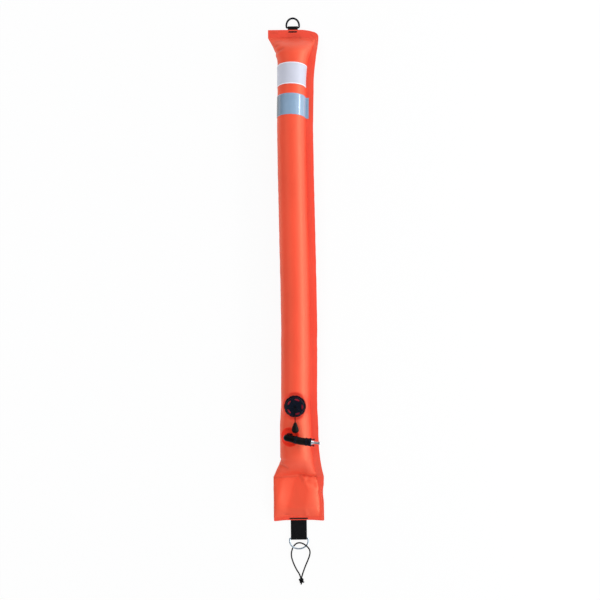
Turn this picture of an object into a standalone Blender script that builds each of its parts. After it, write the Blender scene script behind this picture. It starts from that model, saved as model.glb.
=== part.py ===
"""Inflated surface marker buoy for divers, lying on its back with both valves up.

Metres, +Z up. +Y runs along the tube to the top D-ring, and +X points to the welded side flange.
The origin is the centre of the buoy's footprint, on the surface that it lies on. Along the tube,
places are measured from the hem, the bottom edge of the fabric.
"""

import math

import bmesh
import bpy
from mathutils import Matrix, Vector

# Fabric tube
BLADDER_LENGTH = 1.216
FLAT_WIDTH = 0.125
TUBE_WIDTH = 0.069
TUBE_HEIGHT = 0.061
FLANGE_WIDTH = 0.0195
FLANGE_FILLET = 0.0030
FABRIC = 0.0006
FLAT_UNDERSIDE = 0.0018
CAVITY_INSET = 0.0060
TOP_WELD = 0.020
TOP_WELD_Z = 0.0105
TOP_TAPER = 0.056
TOP_SHOULDER = 0.075
TOP_FLANGE_TAPER = 0.140
TOP_CORNER_DROP = 0.0100
TOP_CORNER_START = 0.0150
HEM_WELD = 0.009
HEM_Z = 0.0047
CREASE_FROM_HEM = 0.112
FOOT_HEIGHT = 0.012
FOOT_PUFF = 0.005
FOOT_EDGE_Z = 0.005
FOOT_TAPER = 0.028
BOTTOM_TAPER = 0.066
SHOULDER = 0.040
FLANGE_SHOULDER = 0.090
FOOT_SPREAD = 0.0030
FOOT_SPREAD_START = 0.225
FOOT_SPREAD_END = 0.300

# The tube's middle wanders a little: from the hem, and in X
TUBE_MIDDLE = ((0.100, -0.0066), (0.220, -0.0066), (0.500, -0.0040), (0.950, -0.0078), (1.120, -0.0048))

# Bands round the tube
PANEL_FROM_TOP = 0.0981
PANEL_WIDTH = 0.0520
TAPE_FROM_TOP = 0.1728
TAPE_WIDTH = 0.0510
TAPE_TAIL = 0.0070
BAND_THICKNESS = 0.0006
BAND_BACK_Z = 0.014
BAND_SLANT_DEG = 1.5

# Webbing, rings and stitching
SEWN_X = -0.0010
WEBBING_THICKNESS = 0.0012
WEBBING_NECK = 0.0090
TOP_WEBBING_WIDTH = 0.0250
TOP_WEBBING_TAIL = 0.0180
TOP_WEBBING_FREE = 0.0065
TOP_RING_WIDTH = 0.0356
TOP_RING_DEPTH = 0.0302
TOP_RING_WIRE = 0.0040
BOTTOM_WEBBING_WIDTH = 0.0400
BOTTOM_WEBBING_TAIL = 0.0082
BOTTOM_WEBBING_FREE = 0.0460
BOTTOM_RING_WIDTH = 0.0500
BOTTOM_RING_DEPTH = 0.0292
BOTTOM_RING_WIRE = 0.0040
BOTTOM_RING_LIFT_DEG = 6.5
RING_SIDE = 0.0060
STITCH_THICKNESS = 0.0008
STITCH_BAND = 0.0044
TOP_STITCH_WIDTH = 0.0208
TOP_STITCH_INSET = 0.0052
BOTTOM_STITCH_WIDTH = 0.0450
BOTTOM_STITCH_INSET = 0.0038

# Elastic loop, from the bottom ring's bar: to the right, towards the knot, and up from the floor
BUNGEE = 0.0034
BUNGEE_ROUTE = (
    (0.0056, 0.0975, 0.0030), (0.0090, 0.0868, 0.0021), (0.0153, 0.0700, 0.0019),
    (0.0214, 0.0560, 0.0019), (0.0257, 0.0445, 0.0022), (0.0271, 0.0350, 0.0046),
    (0.0256, 0.0266, 0.0086), (0.0207, 0.0190, 0.0110), (0.0133, 0.0132, 0.0102),
    (0.0046, 0.0104, 0.0074), (-0.0040, 0.0118, 0.0045), (-0.0112, 0.0176, 0.0022),
    (-0.0165, 0.0268, 0.0019), (-0.0192, 0.0380, 0.0019), (-0.0182, 0.0500, 0.0019),
    (-0.0136, 0.0640, 0.0019), (-0.0070, 0.0780, 0.0019), (-0.0004, 0.0890, 0.0021),
    (0.0030, 0.0975, 0.0030),
)
BUNGEE_POINTS = 60
KNOT_WIDTH = 0.0116
KNOT_LENGTH = 0.0156
KNOT_HEIGHT = 0.0090

# Dump valve
DUMP_X = -0.0064
DUMP_FROM_HEM = 0.2908
DUMP_PRESSED = 0.0050
DUMP_RING_RADIUS = 0.0262
DUMP_RING_HEIGHT = 0.0040
GRIPS = 10
GRIP_RADIUS = 0.0070
GRIP_DEPTH = 0.0005
DUMP_FLANGE_RADIUS = 0.0235
DUMP_FLANGE_THICKNESS = 0.0022
DUMP_NECK_RADIUS = 0.0190
DUMP_BORE_RADIUS = 0.0160
DUMP_CAP_RADIUS = 0.0224
DUMP_CAP_HEIGHT = 0.0090
DUMP_CAP_WALL = 0.0014
DUMP_CAP_BEVEL = 0.0018
DUMP_SLOTS = 5
DUMP_SLOT_CIRCLE = 0.0176
DUMP_SLOT_LENGTH = 0.0125
DUMP_SLOT_WIDTH = 0.0044
DUMP_CORD_HOLE = 0.0024
DUMP_DIAPHRAGM = 0.0010
DUMP_PLATE_RADIUS = 0.0118
DUMP_PLATE = 0.0012
DUMP_STEM_RADIUS = 0.0014
DUMP_STEM_ABOVE = 0.0020
DUMP_GUIDE_RADIUS = 0.0032
DUMP_SPOKES = 3
DUMP_SPOKE_WIDTH = 0.0026
DUMP_SPRING_RADIUS = 0.0070
DUMP_SPRING_WIRE = 0.0008
DUMP_SPRING_TURNS = 3

# Pull cord, from the cap's centre: towards the toggle, and up from the cap's flat top
PULL_CORD = 0.0022
CORD_ROUTE = (
    (0.0000, -0.0020), (0.0000, 0.0004), (0.0008, 0.0026), (0.0030, 0.0045), (0.0062, 0.0047),
    (0.0100, 0.0033), (0.0150, 0.0020), (0.0200, 0.0015), (0.0245, 0.0009), (0.0285, -0.0008),
    (0.0320, -0.0020), (0.0350, -0.0028), (0.0373, -0.0030),
)
CORD_POINTS = 24
TOGGLE_LENGTH = 0.0250
TOGGLE_RADIUS = 0.0086
TOGGLE_NECK = 0.0028
TOGGLE_FLATNESS = 0.65
TOGGLE_OUTLINE = (
    (0.00, 1.00), (0.50, 0.975), (0.80, 0.91), (0.97, 0.80), (1.00, 0.68), (0.93, 0.54), (0.76, 0.38),
    (0.54, 0.18),
)

# Inflator port, nut and elbow
INFLATOR_X = -0.0193
INFLATOR_FROM_HEM = 0.2168
INFLATOR_PRESSED = 0.0055
INFLATOR_TILT_DEG = 12.0
PATCH_RADIUS = 0.0235
PATCH_THICKNESS = 0.0007
INFLATOR_FLANGE_RADIUS = 0.0140
INFLATOR_FLANGE_THICKNESS = 0.0020
INFLATOR_NECK_RADIUS = 0.0074
INFLATOR_BORE_RADIUS = 0.0032
INFLATOR_NUT_RADIUS = 0.0106
INFLATOR_NUT_HEIGHT = 0.0045
SPIGOT_RADIUS = 0.0052
SPIGOT_HEIGHT = 0.0062
O_RING_GROOVE = 0.0009
O_RING_WIRE = 0.0012
ELBOW_RADIUS = 0.0082
ELBOW_POST_RADIUS = 0.0079
ELBOW_SKIRT = 0.0008
ELBOW_HEEL = 0.0042
ELBOW_ARM = 0.0141
ELBOW_DEG = -12.0

# Hose and mouthpiece
HOSE_RADIUS = 0.0088
HOSE_WALL = 0.0020
HOSE_LENGTH = 0.0348
HOSE_STRAIGHT = 0.0100
HOSE_SIDEWAYS_DEG = 7.0
HOSE_DROOP_DEG = 4.0
HOSE_SIDES = 12
BARB_LENGTH = 0.0090
CLIP_WIDTH = 0.0036
CLIP_THICKNESS = 0.0008
CLIP_SET_BACK = 0.0030
HOUSING_RADIUS = 0.0092
HOUSING_LENGTH = 0.0032
HOUSING_WALL = 0.0010
HOUSING_LIP = 0.0010
LOCK_RING_RADIUS = 0.0098
LOCK_RING_LENGTH = 0.0034
PRONG_LENGTH = 0.0062
PRONG_RADIUS = 0.0011
PRONG_CIRCLE = 0.0074
PRONG_TIP_RADIUS = 0.0020
NIPPLE_CONE_RADIUS = 0.0057
NIPPLE_CONE_LENGTH = 0.0074
NIPPLE_STEM_RADIUS = 0.0030
NIPPLE_STEM_LENGTH = 0.0096
NIPPLE_TIP_RADIUS = 0.0036
NIPPLE_TIP_LENGTH = 0.0050
NIPPLE_BORE_RADIUS = 0.0014
NIPPLE_SHANK_LENGTH = 0.0032
NIPPLE_TRAVEL = 0.0030
SEAL_WIRE = 0.0010
INNER_SPRING_WIRE = 0.0006
INNER_SPRING_TURNS = 3

# Fits between pieces, and how finely round shapes are cut
CLEAR = 0.0003
RUNNING = 0.0004
GASKET = 0.0010
MERGE = 0.00001
ROUND_STEPS = 32
SMALL_ROUND_STEPS = 20
ARC_STEPS = 14
SEAT_MARGIN = 0.0010
SEAT_BLEND = 0.0080
SEAT_PROUD = 0.0005

# Heights of the webbing under its weld, and of each ring's bar
TOP_BAR_Z = TOP_WELD_Z - FABRIC - 1.5 * (CLEAR + WEBBING_THICKNESS)
BOTTOM_BAR_Z = 1.5 * CLEAR + WEBBING_THICKNESS + BOTTOM_RING_WIRE / 2
TOP_RING_DROP = math.asin((TOP_BAR_Z - TOP_RING_WIRE / 2) / (TOP_RING_DEPTH - TOP_RING_WIRE))
BOTTOM_RING_LIFT = math.radians(BOTTOM_RING_LIFT_DEG)

# Places along the tube
TOP_REACH = (
    TOP_WEBBING_FREE
    + (TOP_RING_DEPTH - TOP_RING_WIRE) * math.cos(TOP_RING_DROP)
    + TOP_RING_WIRE / 2
)
BOTTOM_REACH = (
    BOTTOM_WEBBING_FREE
    + (BOTTOM_RING_DEPTH - BOTTOM_RING_WIRE) * math.cos(BOTTOM_RING_LIFT)
    + BOTTOM_RING_WIRE / 2
)
HEM_Y = (BOTTOM_REACH - BLADDER_LENGTH - TOP_REACH) / 2
TOP_Y = HEM_Y + BLADDER_LENGTH
TOP_BAR_Y = TOP_Y + TOP_WEBBING_FREE
BOTTOM_BAR_Y = HEM_Y - BOTTOM_WEBBING_FREE
PANEL_FROM_HEM = BLADDER_LENGTH - PANEL_FROM_TOP - PANEL_WIDTH
TAPE_FROM_HEM = BLADDER_LENGTH - TAPE_FROM_TOP - TAPE_WIDTH

# Where the two ports press the tube's top flat
DUMP_SEAT_Z = TUBE_HEIGHT - DUMP_PRESSED
INFLATOR_SEAT_Z = TUBE_HEIGHT - INFLATOR_PRESSED

# Heights in the dump valve, up from the fabric
DUMP_RING_FOOT = 2 * CLEAR + GASKET
DUMP_SEAT = DUMP_RING_FOOT + DUMP_RING_HEIGHT
DUMP_DIAPHRAGM_TOP = DUMP_SEAT + CLEAR + DUMP_DIAPHRAGM
DUMP_PLATE_TOP = DUMP_DIAPHRAGM_TOP + CLEAR + DUMP_PLATE
DUMP_CAP_TOP = DUMP_SEAT + CLEAR + DUMP_CAP_HEIGHT
DUMP_CAP_CEILING = DUMP_CAP_TOP - DUMP_CAP_WALL

# Heights in the inflator, up from the fabric
PATCH_TOP = CLEAR + PATCH_THICKNESS
NUT_FOOT = PATCH_TOP + 2 * CLEAR + GASKET
NECK_TOP = NUT_FOOT + INFLATOR_NUT_HEIGHT + CLEAR
SPIGOT_TOP = NECK_TOP + SPIGOT_HEIGHT
ELBOW_FOOT = NECK_TOP + CLEAR
ELBOW_AXIS = ELBOW_FOOT + ELBOW_SKIRT + ELBOW_RADIUS
O_RING_Z = NECK_TOP + SPIGOT_HEIGHT / 2
O_RING_CIRCLE = SPIGOT_RADIUS - O_RING_GROOVE + CLEAR + O_RING_WIRE / 2
SOCKET_RADIUS = O_RING_CIRCLE + O_RING_WIRE / 2 + CLEAR
HOSE_BORE_RADIUS = HOSE_RADIUS - HOSE_WALL
BARB_RADIUS = HOSE_BORE_RADIUS - CLEAR

# Places in the mouthpiece, outwards from the hose's end
HOUSING_BORE_RADIUS = BARB_RADIUS - HOUSING_WALL
HOUSING_FRONT = CLEAR + HOUSING_LENGTH
LOCK_RING_FRONT = HOUSING_FRONT + CLEAR + LOCK_RING_LENGTH
NIPPLE_SHOULDER = HOUSING_FRONT + CLEAR + NIPPLE_TRAVEL
CONE_END = LOCK_RING_FRONT + NIPPLE_CONE_LENGTH
STEM_END = CONE_END + NIPPLE_STEM_LENGTH
NIPPLE_END = STEM_END + NIPPLE_TIP_LENGTH
SHANK_RADIUS = HOUSING_BORE_RADIUS - RUNNING

# Each port presses the fabric flat: place in X, from the hem, height, tilt to the left, radius
SEATS = (
    (DUMP_X, DUMP_FROM_HEM, DUMP_SEAT_Z, 0.0, DUMP_RING_RADIUS),
    (
        INFLATOR_X, INFLATOR_FROM_HEM, INFLATOR_SEAT_Z, math.radians(INFLATOR_TILT_DEG),
        INFLATOR_FLANGE_RADIUS,
    ),
)


def mix(a, b, t):
    return a + (b - a) * t


def ease(value, start, end):
    """0 before start, 1 after end, and smooth in between."""
    t = min(max((value - start) / (end - start), 0.0), 1.0)
    return t * t * (3 - 2 * t)


def rise(value, start, end):
    """0 before start, then a quarter wave to 1 at end, as the corner of a pillow swells."""
    t = min(max((value - start) / (end - start), 0.0), 1.0)
    return math.sin(t * math.pi / 2)


def spread(start, end, count):
    return [mix(start, end, i / (count - 1)) for i in range(count)]


# Materials


def material(name, colour, roughness, metallic=0.0):
    made = bpy.data.materials.new(name)
    made.use_nodes = True
    shader = made.node_tree.nodes["Principled BSDF"]
    shader.inputs["Base Color"].default_value = (*colour, 1.0)
    shader.inputs["Roughness"].default_value = roughness
    shader.inputs["Metallic"].default_value = metallic
    made.diffuse_color = (*colour, 1.0)
    return made


def make_materials():
    return {
        "fabric": material("coated_nylon", (0.87, 0.07, 0.03), 0.45),
        "panel": material("white_coating", (0.85, 0.87, 0.90), 0.50),
        "tape": material("reflective_silver", (0.52, 0.57, 0.62), 0.35, 0.6),
        "webbing": material("black_webbing", (0.012, 0.012, 0.014), 0.85),
        "elastic": material("black_elastic", (0.012, 0.012, 0.014), 0.80),
        "plastic": material("black_plastic", (0.012, 0.014, 0.020), 0.40),
        "rubber": material("black_rubber", (0.014, 0.014, 0.015), 0.60),
        "red_rubber": material("red_silicone", (0.50, 0.02, 0.05), 0.45),
        "steel": material("stainless_steel", (0.62, 0.63, 0.65), 0.25, 1.0),
        "black_steel": material("black_coated_steel", (0.02, 0.02, 0.022), 0.35, 0.5),
    }


# Modelling helpers


class Workshop:
    """The collections, the materials and the ways of making a solid."""

    def __init__(self):
        for obj in list(bpy.data.objects):
            bpy.data.objects.remove(obj)
        self.parts = bpy.data.collections.new("surface_marker_buoy")
        self.cutters = bpy.data.collections.new("cutters")
        bpy.context.scene.collection.children.link(self.parts)
        bpy.context.scene.collection.children.link(self.cutters)
        self.materials = make_materials()

    def add(self, name, data, finish=None, parent=None):
        """A part with that finish, or a cutter where no finish is given."""
        obj = bpy.data.objects.new(name, data)
        if finish is None:
            obj.hide_render = True
            obj.display_type = "WIRE"
            self.cutters.objects.link(obj)
        else:
            data.materials.append(self.materials[finish])
            self.parts.objects.link(obj)
        obj.parent = parent
        return obj

    def empty(self, name, location, rotation=(0.0, 0.0, 0.0), parent=None):
        obj = bpy.data.objects.new(name, None)
        obj.empty_display_size = 0.01
        obj.location = location
        obj.rotation_euler = rotation
        obj.parent = parent
        self.parts.objects.link(obj)
        return obj

    def from_bmesh(self, name, shape, finish=None, parent=None, smooth=True):
        bmesh.ops.recalc_face_normals(shape, faces=shape.faces)
        mesh = bpy.data.meshes.new(name)
        shape.to_mesh(mesh)
        shape.free()
        if smooth:
            mesh.shade_smooth()
            mesh.set_sharp_from_angle(angle=math.radians(35))
        return self.add(name, mesh, finish, parent)

    def turned(self, name, profile, finish=None, parent=None, steps=ROUND_STEPS, ring=True):
        """A turned piece round local Z. Its profile of (radius, height) runs down the outer side."""
        mesh = bpy.data.meshes.new(name)
        edges = [(i, i + 1) for i in range(len(profile) - 1)]
        if ring:
            edges.append((len(profile) - 1, 0))
        mesh.from_pydata([(radius, 0, height) for radius, height in profile], edges, [])
        obj = self.add(name, mesh, finish, parent)
        screw = obj.modifiers.new("turn", "SCREW")
        screw.steps = screw.render_steps = steps
        screw.use_merge_vertices = True
        screw.merge_threshold = MERGE
        screw.use_smooth_shade = True
        return obj

    def ring(self, name, inner, outer, foot, top, finish=None, parent=None, steps=ROUND_STEPS):
        profile = ((inner, top), (outer, top), (outer, foot), (inner, foot))
        return self.turned(name, profile, finish, parent, steps)

    def rod(self, name, radius, foot, top, finish=None, parent=None, steps=ROUND_STEPS):
        """An upright cylinder on local Z."""
        shape = bmesh.new()
        bmesh.ops.create_cone(
            shape, cap_ends=True, segments=steps, radius1=radius, radius2=radius, depth=top - foot,
            matrix=Matrix.Translation((0, 0, (foot + top) / 2)),
        )
        return self.from_bmesh(name, shape, finish, parent)

    def ball(self, name, radius, centre, finish=None, parent=None, scale=(1, 1, 1), steps=SMALL_ROUND_STEPS):
        shape = bmesh.new()
        bmesh.ops.create_uvsphere(
            shape, u_segments=steps, v_segments=steps // 2, radius=radius,
            matrix=Matrix.Translation(centre) @ Matrix.Diagonal((*scale, 1)),
        )
        return self.from_bmesh(name, shape, finish, parent)

    def block(self, name, low, high, finish=None, parent=None):
        centre = (Vector(low) + Vector(high)) / 2
        size = Vector(high) - Vector(low)
        shape = bmesh.new()
        bmesh.ops.create_cube(shape, size=1, matrix=Matrix.Translation(centre) @ Matrix.Diagonal((*size, 1)))
        return self.from_bmesh(name, shape, finish, parent, smooth=False)

    def tube(self, name, points, radius, finish=None, parent=None, resolution=2, closed=False):
        """A round tube along these points, as a curve with a bevel and filled caps."""
        curve = bpy.data.curves.new(name, "CURVE")
        curve.dimensions = "3D"
        curve.bevel_depth = radius
        curve.bevel_resolution = resolution
        curve.use_fill_caps = not closed
        spline = curve.splines.new("POLY")
        spline.points.add(len(points) - 1)
        for point, place in zip(spline.points, points):
            point.co = (*place, 1)
        spline.use_cyclic_u = closed
        return self.add(name, curve, finish, parent)

    def tube_mesh(self, name, points, radius, finish=None, parent=None):
        """A tube of HOSE_SIDES sides as a mesh, which a Boolean can cut or join."""
        curve = self.tube(name + "_guide", points, radius, None, parent, HOSE_SIDES // 2 - 2)
        graph = bpy.context.evaluated_depsgraph_get()
        shape = bmesh.new()
        shape.from_mesh(bpy.data.meshes.new_from_object(curve.evaluated_get(graph)))
        bmesh.ops.remove_doubles(shape, verts=shape.verts, dist=MERGE)
        bpy.data.objects.remove(curve)
        return self.from_bmesh(name, shape, finish, parent)

    def join(self, obj, other, operation="DIFFERENCE"):
        modifier = obj.modifiers.new(operation.lower(), "BOOLEAN")
        modifier.operation = operation
        modifier.object = other
        return obj

    def coil(self, name, radius, wire, turns, foot, top, finish, parent):
        """A compression spring round local Z, between two heights."""
        low = foot + CLEAR + wire / 2
        high = top - CLEAR - wire / 2
        count = turns * 9 + 1
        points = [
            (
                radius * math.cos(2 * math.pi * turns * i / (count - 1)),
                radius * math.sin(2 * math.pi * turns * i / (count - 1)),
                mix(low, high, i / (count - 1)),
            )
            for i in range(count)
        ]
        print(f"{name}: least gap between its turns {1000 * ((high - low) / turns - wire):.2f} mm")
        spring = self.tube(name, points, wire / 2, finish, parent, resolution=1)
        spring.data.twist_mode = "Z_UP"
        return spring


def smooth_route(route, count):
    """Points at even steps along a smooth curve through the route's own points."""
    knots = [Vector(place) for place in route]
    knots = [2 * knots[0] - knots[1], *knots, 2 * knots[-1] - knots[-2]]
    fine = []
    for a, b, c, d in zip(knots, knots[1:], knots[2:], knots[3:]):
        for i in range(12):
            t = i / 12
            square = 2 * a - 5 * b + 4 * c - d
            cube = 3 * b - a - 3 * c + d
            fine.append(b + (c - a) * (t / 2) + square * (t**2 / 2) + cube * (t**3 / 2))
    fine.append(knots[-2])
    reach = [0.0]
    for a, b in zip(fine, fine[1:]):
        reach.append(reach[-1] + (b - a).length)
    points = []
    at = 0
    for wanted in spread(0.0, reach[-1], count):
        while at < len(fine) - 2 and reach[at + 1] < wanted:
            at += 1
        share = (wanted - reach[at]) / (reach[at + 1] - reach[at])
        points.append(fine[at].lerp(fine[at + 1], min(max(share, 0.0), 1.0)))
    return points


# Fabric


def tube_middle(s):
    x = TUBE_MIDDLE[0][1]
    for (start, _), (end, target) in zip(TUBE_MIDDLE, TUBE_MIDDLE[1:]):
        x = mix(x, target, ease(s, start, end))
    return x


def tube_law(s):
    """A section at s from the hem: left fold, seam and flange in X, then edge, top and underside in Z."""
    from_top = BLADDER_LENGTH - s
    half_flat = FLAT_WIDTH / 2
    if from_top < s:
        swell = rise(from_top, TOP_WELD, TOP_WELD + TOP_TAPER)
        narrow_left = rise(from_top, TOP_WELD, TOP_WELD + TOP_SHOULDER)
        narrow_right = ease(from_top, 0.0, TOP_FLANGE_TAPER)
        edge, top, under = TOP_WELD_Z, TOP_WELD_Z + FABRIC, TOP_WELD_Z - FABRIC
    else:
        swell = rise(s, CREASE_FROM_HEM, CREASE_FROM_HEM + BOTTOM_TAPER)
        narrow_left = min(max((s - CREASE_FROM_HEM) / SHOULDER, 0.0), 1.0)
        narrow_right = rise(s, CREASE_FROM_HEM, CREASE_FROM_HEM + FLANGE_SHOULDER)
        foot = rise(s, HEM_WELD, HEM_WELD + FOOT_TAPER)
        puff = FOOT_PUFF * math.sin(math.pi * min(s / CREASE_FROM_HEM, 1.0))
        edge = mix(HEM_Z, FOOT_EDGE_Z, foot)
        top = mix(HEM_Z + FABRIC, FOOT_HEIGHT + puff, foot)
        under = mix(HEM_Z - FABRIC, -FLAT_UNDERSIDE, foot)
    middle = tube_middle(s)
    half_tube = TUBE_WIDTH / 2 + FOOT_SPREAD * (1 - ease(s, FOOT_SPREAD_START, FOOT_SPREAD_END))
    left = mix(-half_flat, middle - half_tube, narrow_left)
    right = mix(half_flat, middle + half_tube + FLANGE_WIDTH, narrow_right)
    edge = mix(edge, TUBE_HEIGHT / 2, swell)
    top = mix(top, TUBE_HEIGHT, swell)
    under = mix(under, -FLAT_UNDERSIDE, swell)
    return left, right - FLANGE_WIDTH, right, edge, top, under


def place(x, s):
    """How far along Y a point of the fabric lies: the top weld's right corner hangs lower."""
    across = max(x - TOP_CORNER_START, 0.0) / (FLAT_WIDTH / 2 - TOP_CORNER_START)
    near_top = rise(s, BLADDER_LENGTH - TOP_WELD - TOP_TAPER, BLADDER_LENGTH)
    return HEM_Y + s - TOP_CORNER_DROP * near_top * across**2


def pressed(x, s, z, grow):
    """The height of a point on the upper side after the two ports have pressed it flat round them."""
    for seat_x, seat_s, seat_z, tilt, radius in SEATS:
        apart = math.hypot(x - seat_x, s - seat_s)
        flat = 1 - ease(apart, radius + SEAT_MARGIN, radius + SEAT_MARGIN + SEAT_BLEND)
        z = mix(z, seat_z + (x - seat_x) * math.tan(tilt) + SEAT_PROUD + grow, flat)
    return z


def section(s, grow, flange):
    """Upper and lower points of a section from right to left, and the points at its left and right ends."""
    left, seam, right, edge, top, under = tube_law(s)
    middle, half = (left + seam) / 2, (seam - left) / 2
    if not flange:
        half -= CAVITY_INSET * (1 - (top - under) / (TUBE_HEIGHT + FLAT_UNDERSIDE))
    weld = FABRIC + grow
    upper, lower = [], []
    if flange:
        for x in (right + grow, seam + FLANGE_FILLET):
            upper.append((x, edge + weld))
            lower.append((x, max(edge - weld, -grow)))
    for step in range(1, ARC_STEPS):
        angle = math.pi * step / ARC_STEPS
        x = middle + (half + grow) * math.cos(angle)
        high = edge + max(weld, (top + grow - edge) * math.sin(angle))
        if top - edge > TUBE_HEIGHT / 4:
            high = pressed(middle + half * math.cos(angle), s, high, grow)
        upper.append((x, high))
        lower.append((x, max(edge - max(weld, (edge - under + grow) * math.sin(angle)), -grow)))
    return upper, lower, (middle - half - grow, edge), (middle + half + grow, edge)


def stations():
    """Where the loft has its sections: close together where the shape changes."""
    marks = [0.0, HEM_WELD, BLADDER_LENGTH - TOP_WELD, BLADDER_LENGTH]
    marks += spread(HEM_WELD, CREASE_FROM_HEM, 8)
    marks += spread(CREASE_FROM_HEM, CREASE_FROM_HEM + BOTTOM_TAPER, 8)
    marks += spread(BLADDER_LENGTH - TOP_FLANGE_TAPER, BLADDER_LENGTH - TOP_WELD, 11)
    marks += [PANEL_FROM_HEM, PANEL_FROM_HEM + PANEL_WIDTH, TAPE_FROM_HEM, TAPE_FROM_HEM + TAPE_WIDTH]
    marks += spread(DUMP_FROM_HEM + 2 * DUMP_RING_RADIUS, TAPE_FROM_HEM, 9)
    for _, seat_s, _, _, radius in SEATS:
        flat = radius + SEAT_MARGIN
        for out in (flat / 2, flat, flat + SEAT_BLEND / 2, flat + SEAT_BLEND):
            marks += [seat_s - out, seat_s + out]
        marks.append(seat_s)
    marks.sort()
    kept = marks[:1]
    for mark in marks[1:]:
        if mark - kept[-1] > 0.003:
            kept.append(mark)
    kept[-1] = BLADDER_LENGTH
    return kept


def fabric_body(shop, name, grow, start, end, flange=True, finish=None):
    """The tube's outer shape grown by that much, between two places, flat under both ports."""
    shape = bmesh.new()
    rows = []
    marks = [start, *(s for s in stations() if start + 0.001 < s < end - 0.001), end]
    for s in marks:
        upper, lower, fold, far_end = section(s, grow, flange)
        loop = [*upper, fold, *reversed(lower)]
        if not flange:
            loop.insert(0, far_end)
        rows.append([shape.verts.new((x, place(x, s), z)) for x, z in loop])
    count = len(rows[0])
    for row, following in zip(rows, rows[1:]):
        for i in range(count):
            j = (i + 1) % count
            shape.faces.new((row[i], row[j], following[j]))
            shape.faces.new((row[i], following[j], following[i]))
    for row in (rows[0], rows[-1]):
        ends = row if flange else row[1:]
        for i in range(len(ends) // 2):
            quad = [ends[i], ends[i + 1], ends[-2 - i], ends[-1 - i]]
            shape.faces.new(dict.fromkeys(quad))
        if not flange:
            shape.faces.new((row[0], row[1], row[-1]))
    body = shop.from_bmesh(name, shape, finish)
    for index, (seat_x, seat_s, seat_z, tilt, radius) in enumerate(SEATS):
        if start < seat_s < end:
            above = shop.rod(f"{name}_flat_{index}", radius + SEAT_MARGIN - grow, grow, TUBE_HEIGHT / 2)
            above.location = (seat_x, HEM_Y + seat_s, seat_z)
            above.rotation_euler = (0, -tilt, 0)
            shop.join(body, above)
    return body


def make_bladder(shop, dump, inflator):
    bladder = fabric_body(shop, "bladder", 0.0, 0.0, BLADDER_LENGTH, finish="fabric")
    ends = HEM_WELD + FOOT_TAPER / 5, BLADDER_LENGTH - TOP_WELD - TOP_TAPER / 10
    shop.join(bladder, fabric_body(shop, "bladder_cavity", -FABRIC, *ends, flange=False))
    for name, radius, port in (
        ("dump_port", DUMP_NECK_RADIUS, dump),
        ("inflator_port", INFLATOR_NECK_RADIUS, inflator),
    ):
        hole = shop.rod(name, radius + RUNNING, -0.012, 0.012, parent=port)
        shop.join(bladder, hole)


def make_band(shop, name, start, width, finish, tail):
    """A slanting strip on the front, round the left fold, and by its tail on the flange at the right."""
    over = FLAT_WIDTH * math.tan(math.radians(BAND_SLANT_DEG))
    band = fabric_body(shop, name, CLEAR + BAND_THICKNESS, start - over, start + width + over, finish=finish)
    shop.join(band, fabric_body(shop, name + "_under", CLEAR, start - 2 * over, start + width + 2 * over))
    left, seam, _, edge, _, _ = tube_law(start + width / 2)
    reach = seam + FLANGE_FILLET / 2 + tail
    shape = bmesh.new()
    outline = (
        (-FLAT_WIDTH, BAND_BACK_Z), (0, BAND_BACK_Z), (0, edge), (reach, edge), (reach, FLAT_WIDTH),
        (-FLAT_WIDTH, FLAT_WIDTH),
    )
    slant = math.tan(math.radians(BAND_SLANT_DEG))
    low = [shape.verts.new((x, HEM_Y + start - slant * (x - left), z)) for x, z in outline]
    swept = bmesh.ops.extrude_face_region(shape, geom=[shape.faces.new(low)])["geom"]
    moved = [item for item in swept if isinstance(item, bmesh.types.BMVert)]
    bmesh.ops.translate(shape, verts=moved, vec=(0, width, 0))
    shop.join(band, shop.from_bmesh(name + "_reach", shape, smooth=False), "INTERSECT")


def make_patch(shop, inflator):
    """The welded reinforcing disc round the inflator's port."""
    around = INFLATOR_FROM_HEM - 2 * PATCH_RADIUS, INFLATOR_FROM_HEM + 2 * PATCH_RADIUS
    patch = fabric_body(shop, "inflator_patch", PATCH_TOP, *around, finish="fabric")
    shop.join(patch, fabric_body(shop, "inflator_patch_under", CLEAR, around[0] - CLEAR, around[1] + CLEAR))
    disc = shop.rod("inflator_patch_disc", PATCH_RADIUS, -PATCH_RADIUS / 2, PATCH_RADIUS, parent=inflator)
    shop.join(patch, disc, "INTERSECT")
    hole = INFLATOR_NECK_RADIUS + RUNNING
    shop.join(patch, shop.rod("inflator_patch_hole", hole, -2 * PATCH_TOP, 2 * PATCH_TOP, parent=inflator))


# Webbing, rings and stitching


def make_webbing(shop, name, width, free, tail, wire, bar_z, weld_z, parent):
    """A strap folded round a ring's bar, with both layers under the weld. Local +Y points outwards."""
    layer = WEBBING_THICKNESS + CLEAR
    upper = weld_z - FABRIC - layer + WEBBING_THICKNESS / 2
    lower = upper - layer
    bend = wire / 2 + CLEAR + WEBBING_THICKNESS / 2
    neck = free - min(WEBBING_NECK, free)
    path = [(-tail, lower), (neck, lower)]
    for angle in spread(-math.pi / 2, math.pi / 2, 13):
        path.append((free + bend * math.cos(angle), bar_z + bend * math.sin(angle)))
    path += [(neck, upper), (-tail, upper)]
    shape = bmesh.new()
    rows = [[shape.verts.new((side * width / 2, y, z)) for side in (-1, 1)] for y, z in path]
    for a, b in zip(rows, rows[1:]):
        shape.faces.new((a[0], a[1], b[1], b[0]))
    strap = shop.from_bmesh(name, shape, "webbing", parent)
    solid = strap.modifiers.new("thickness", "SOLIDIFY")
    solid.thickness = WEBBING_THICKNESS
    solid.offset = 0
    return strap


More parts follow.
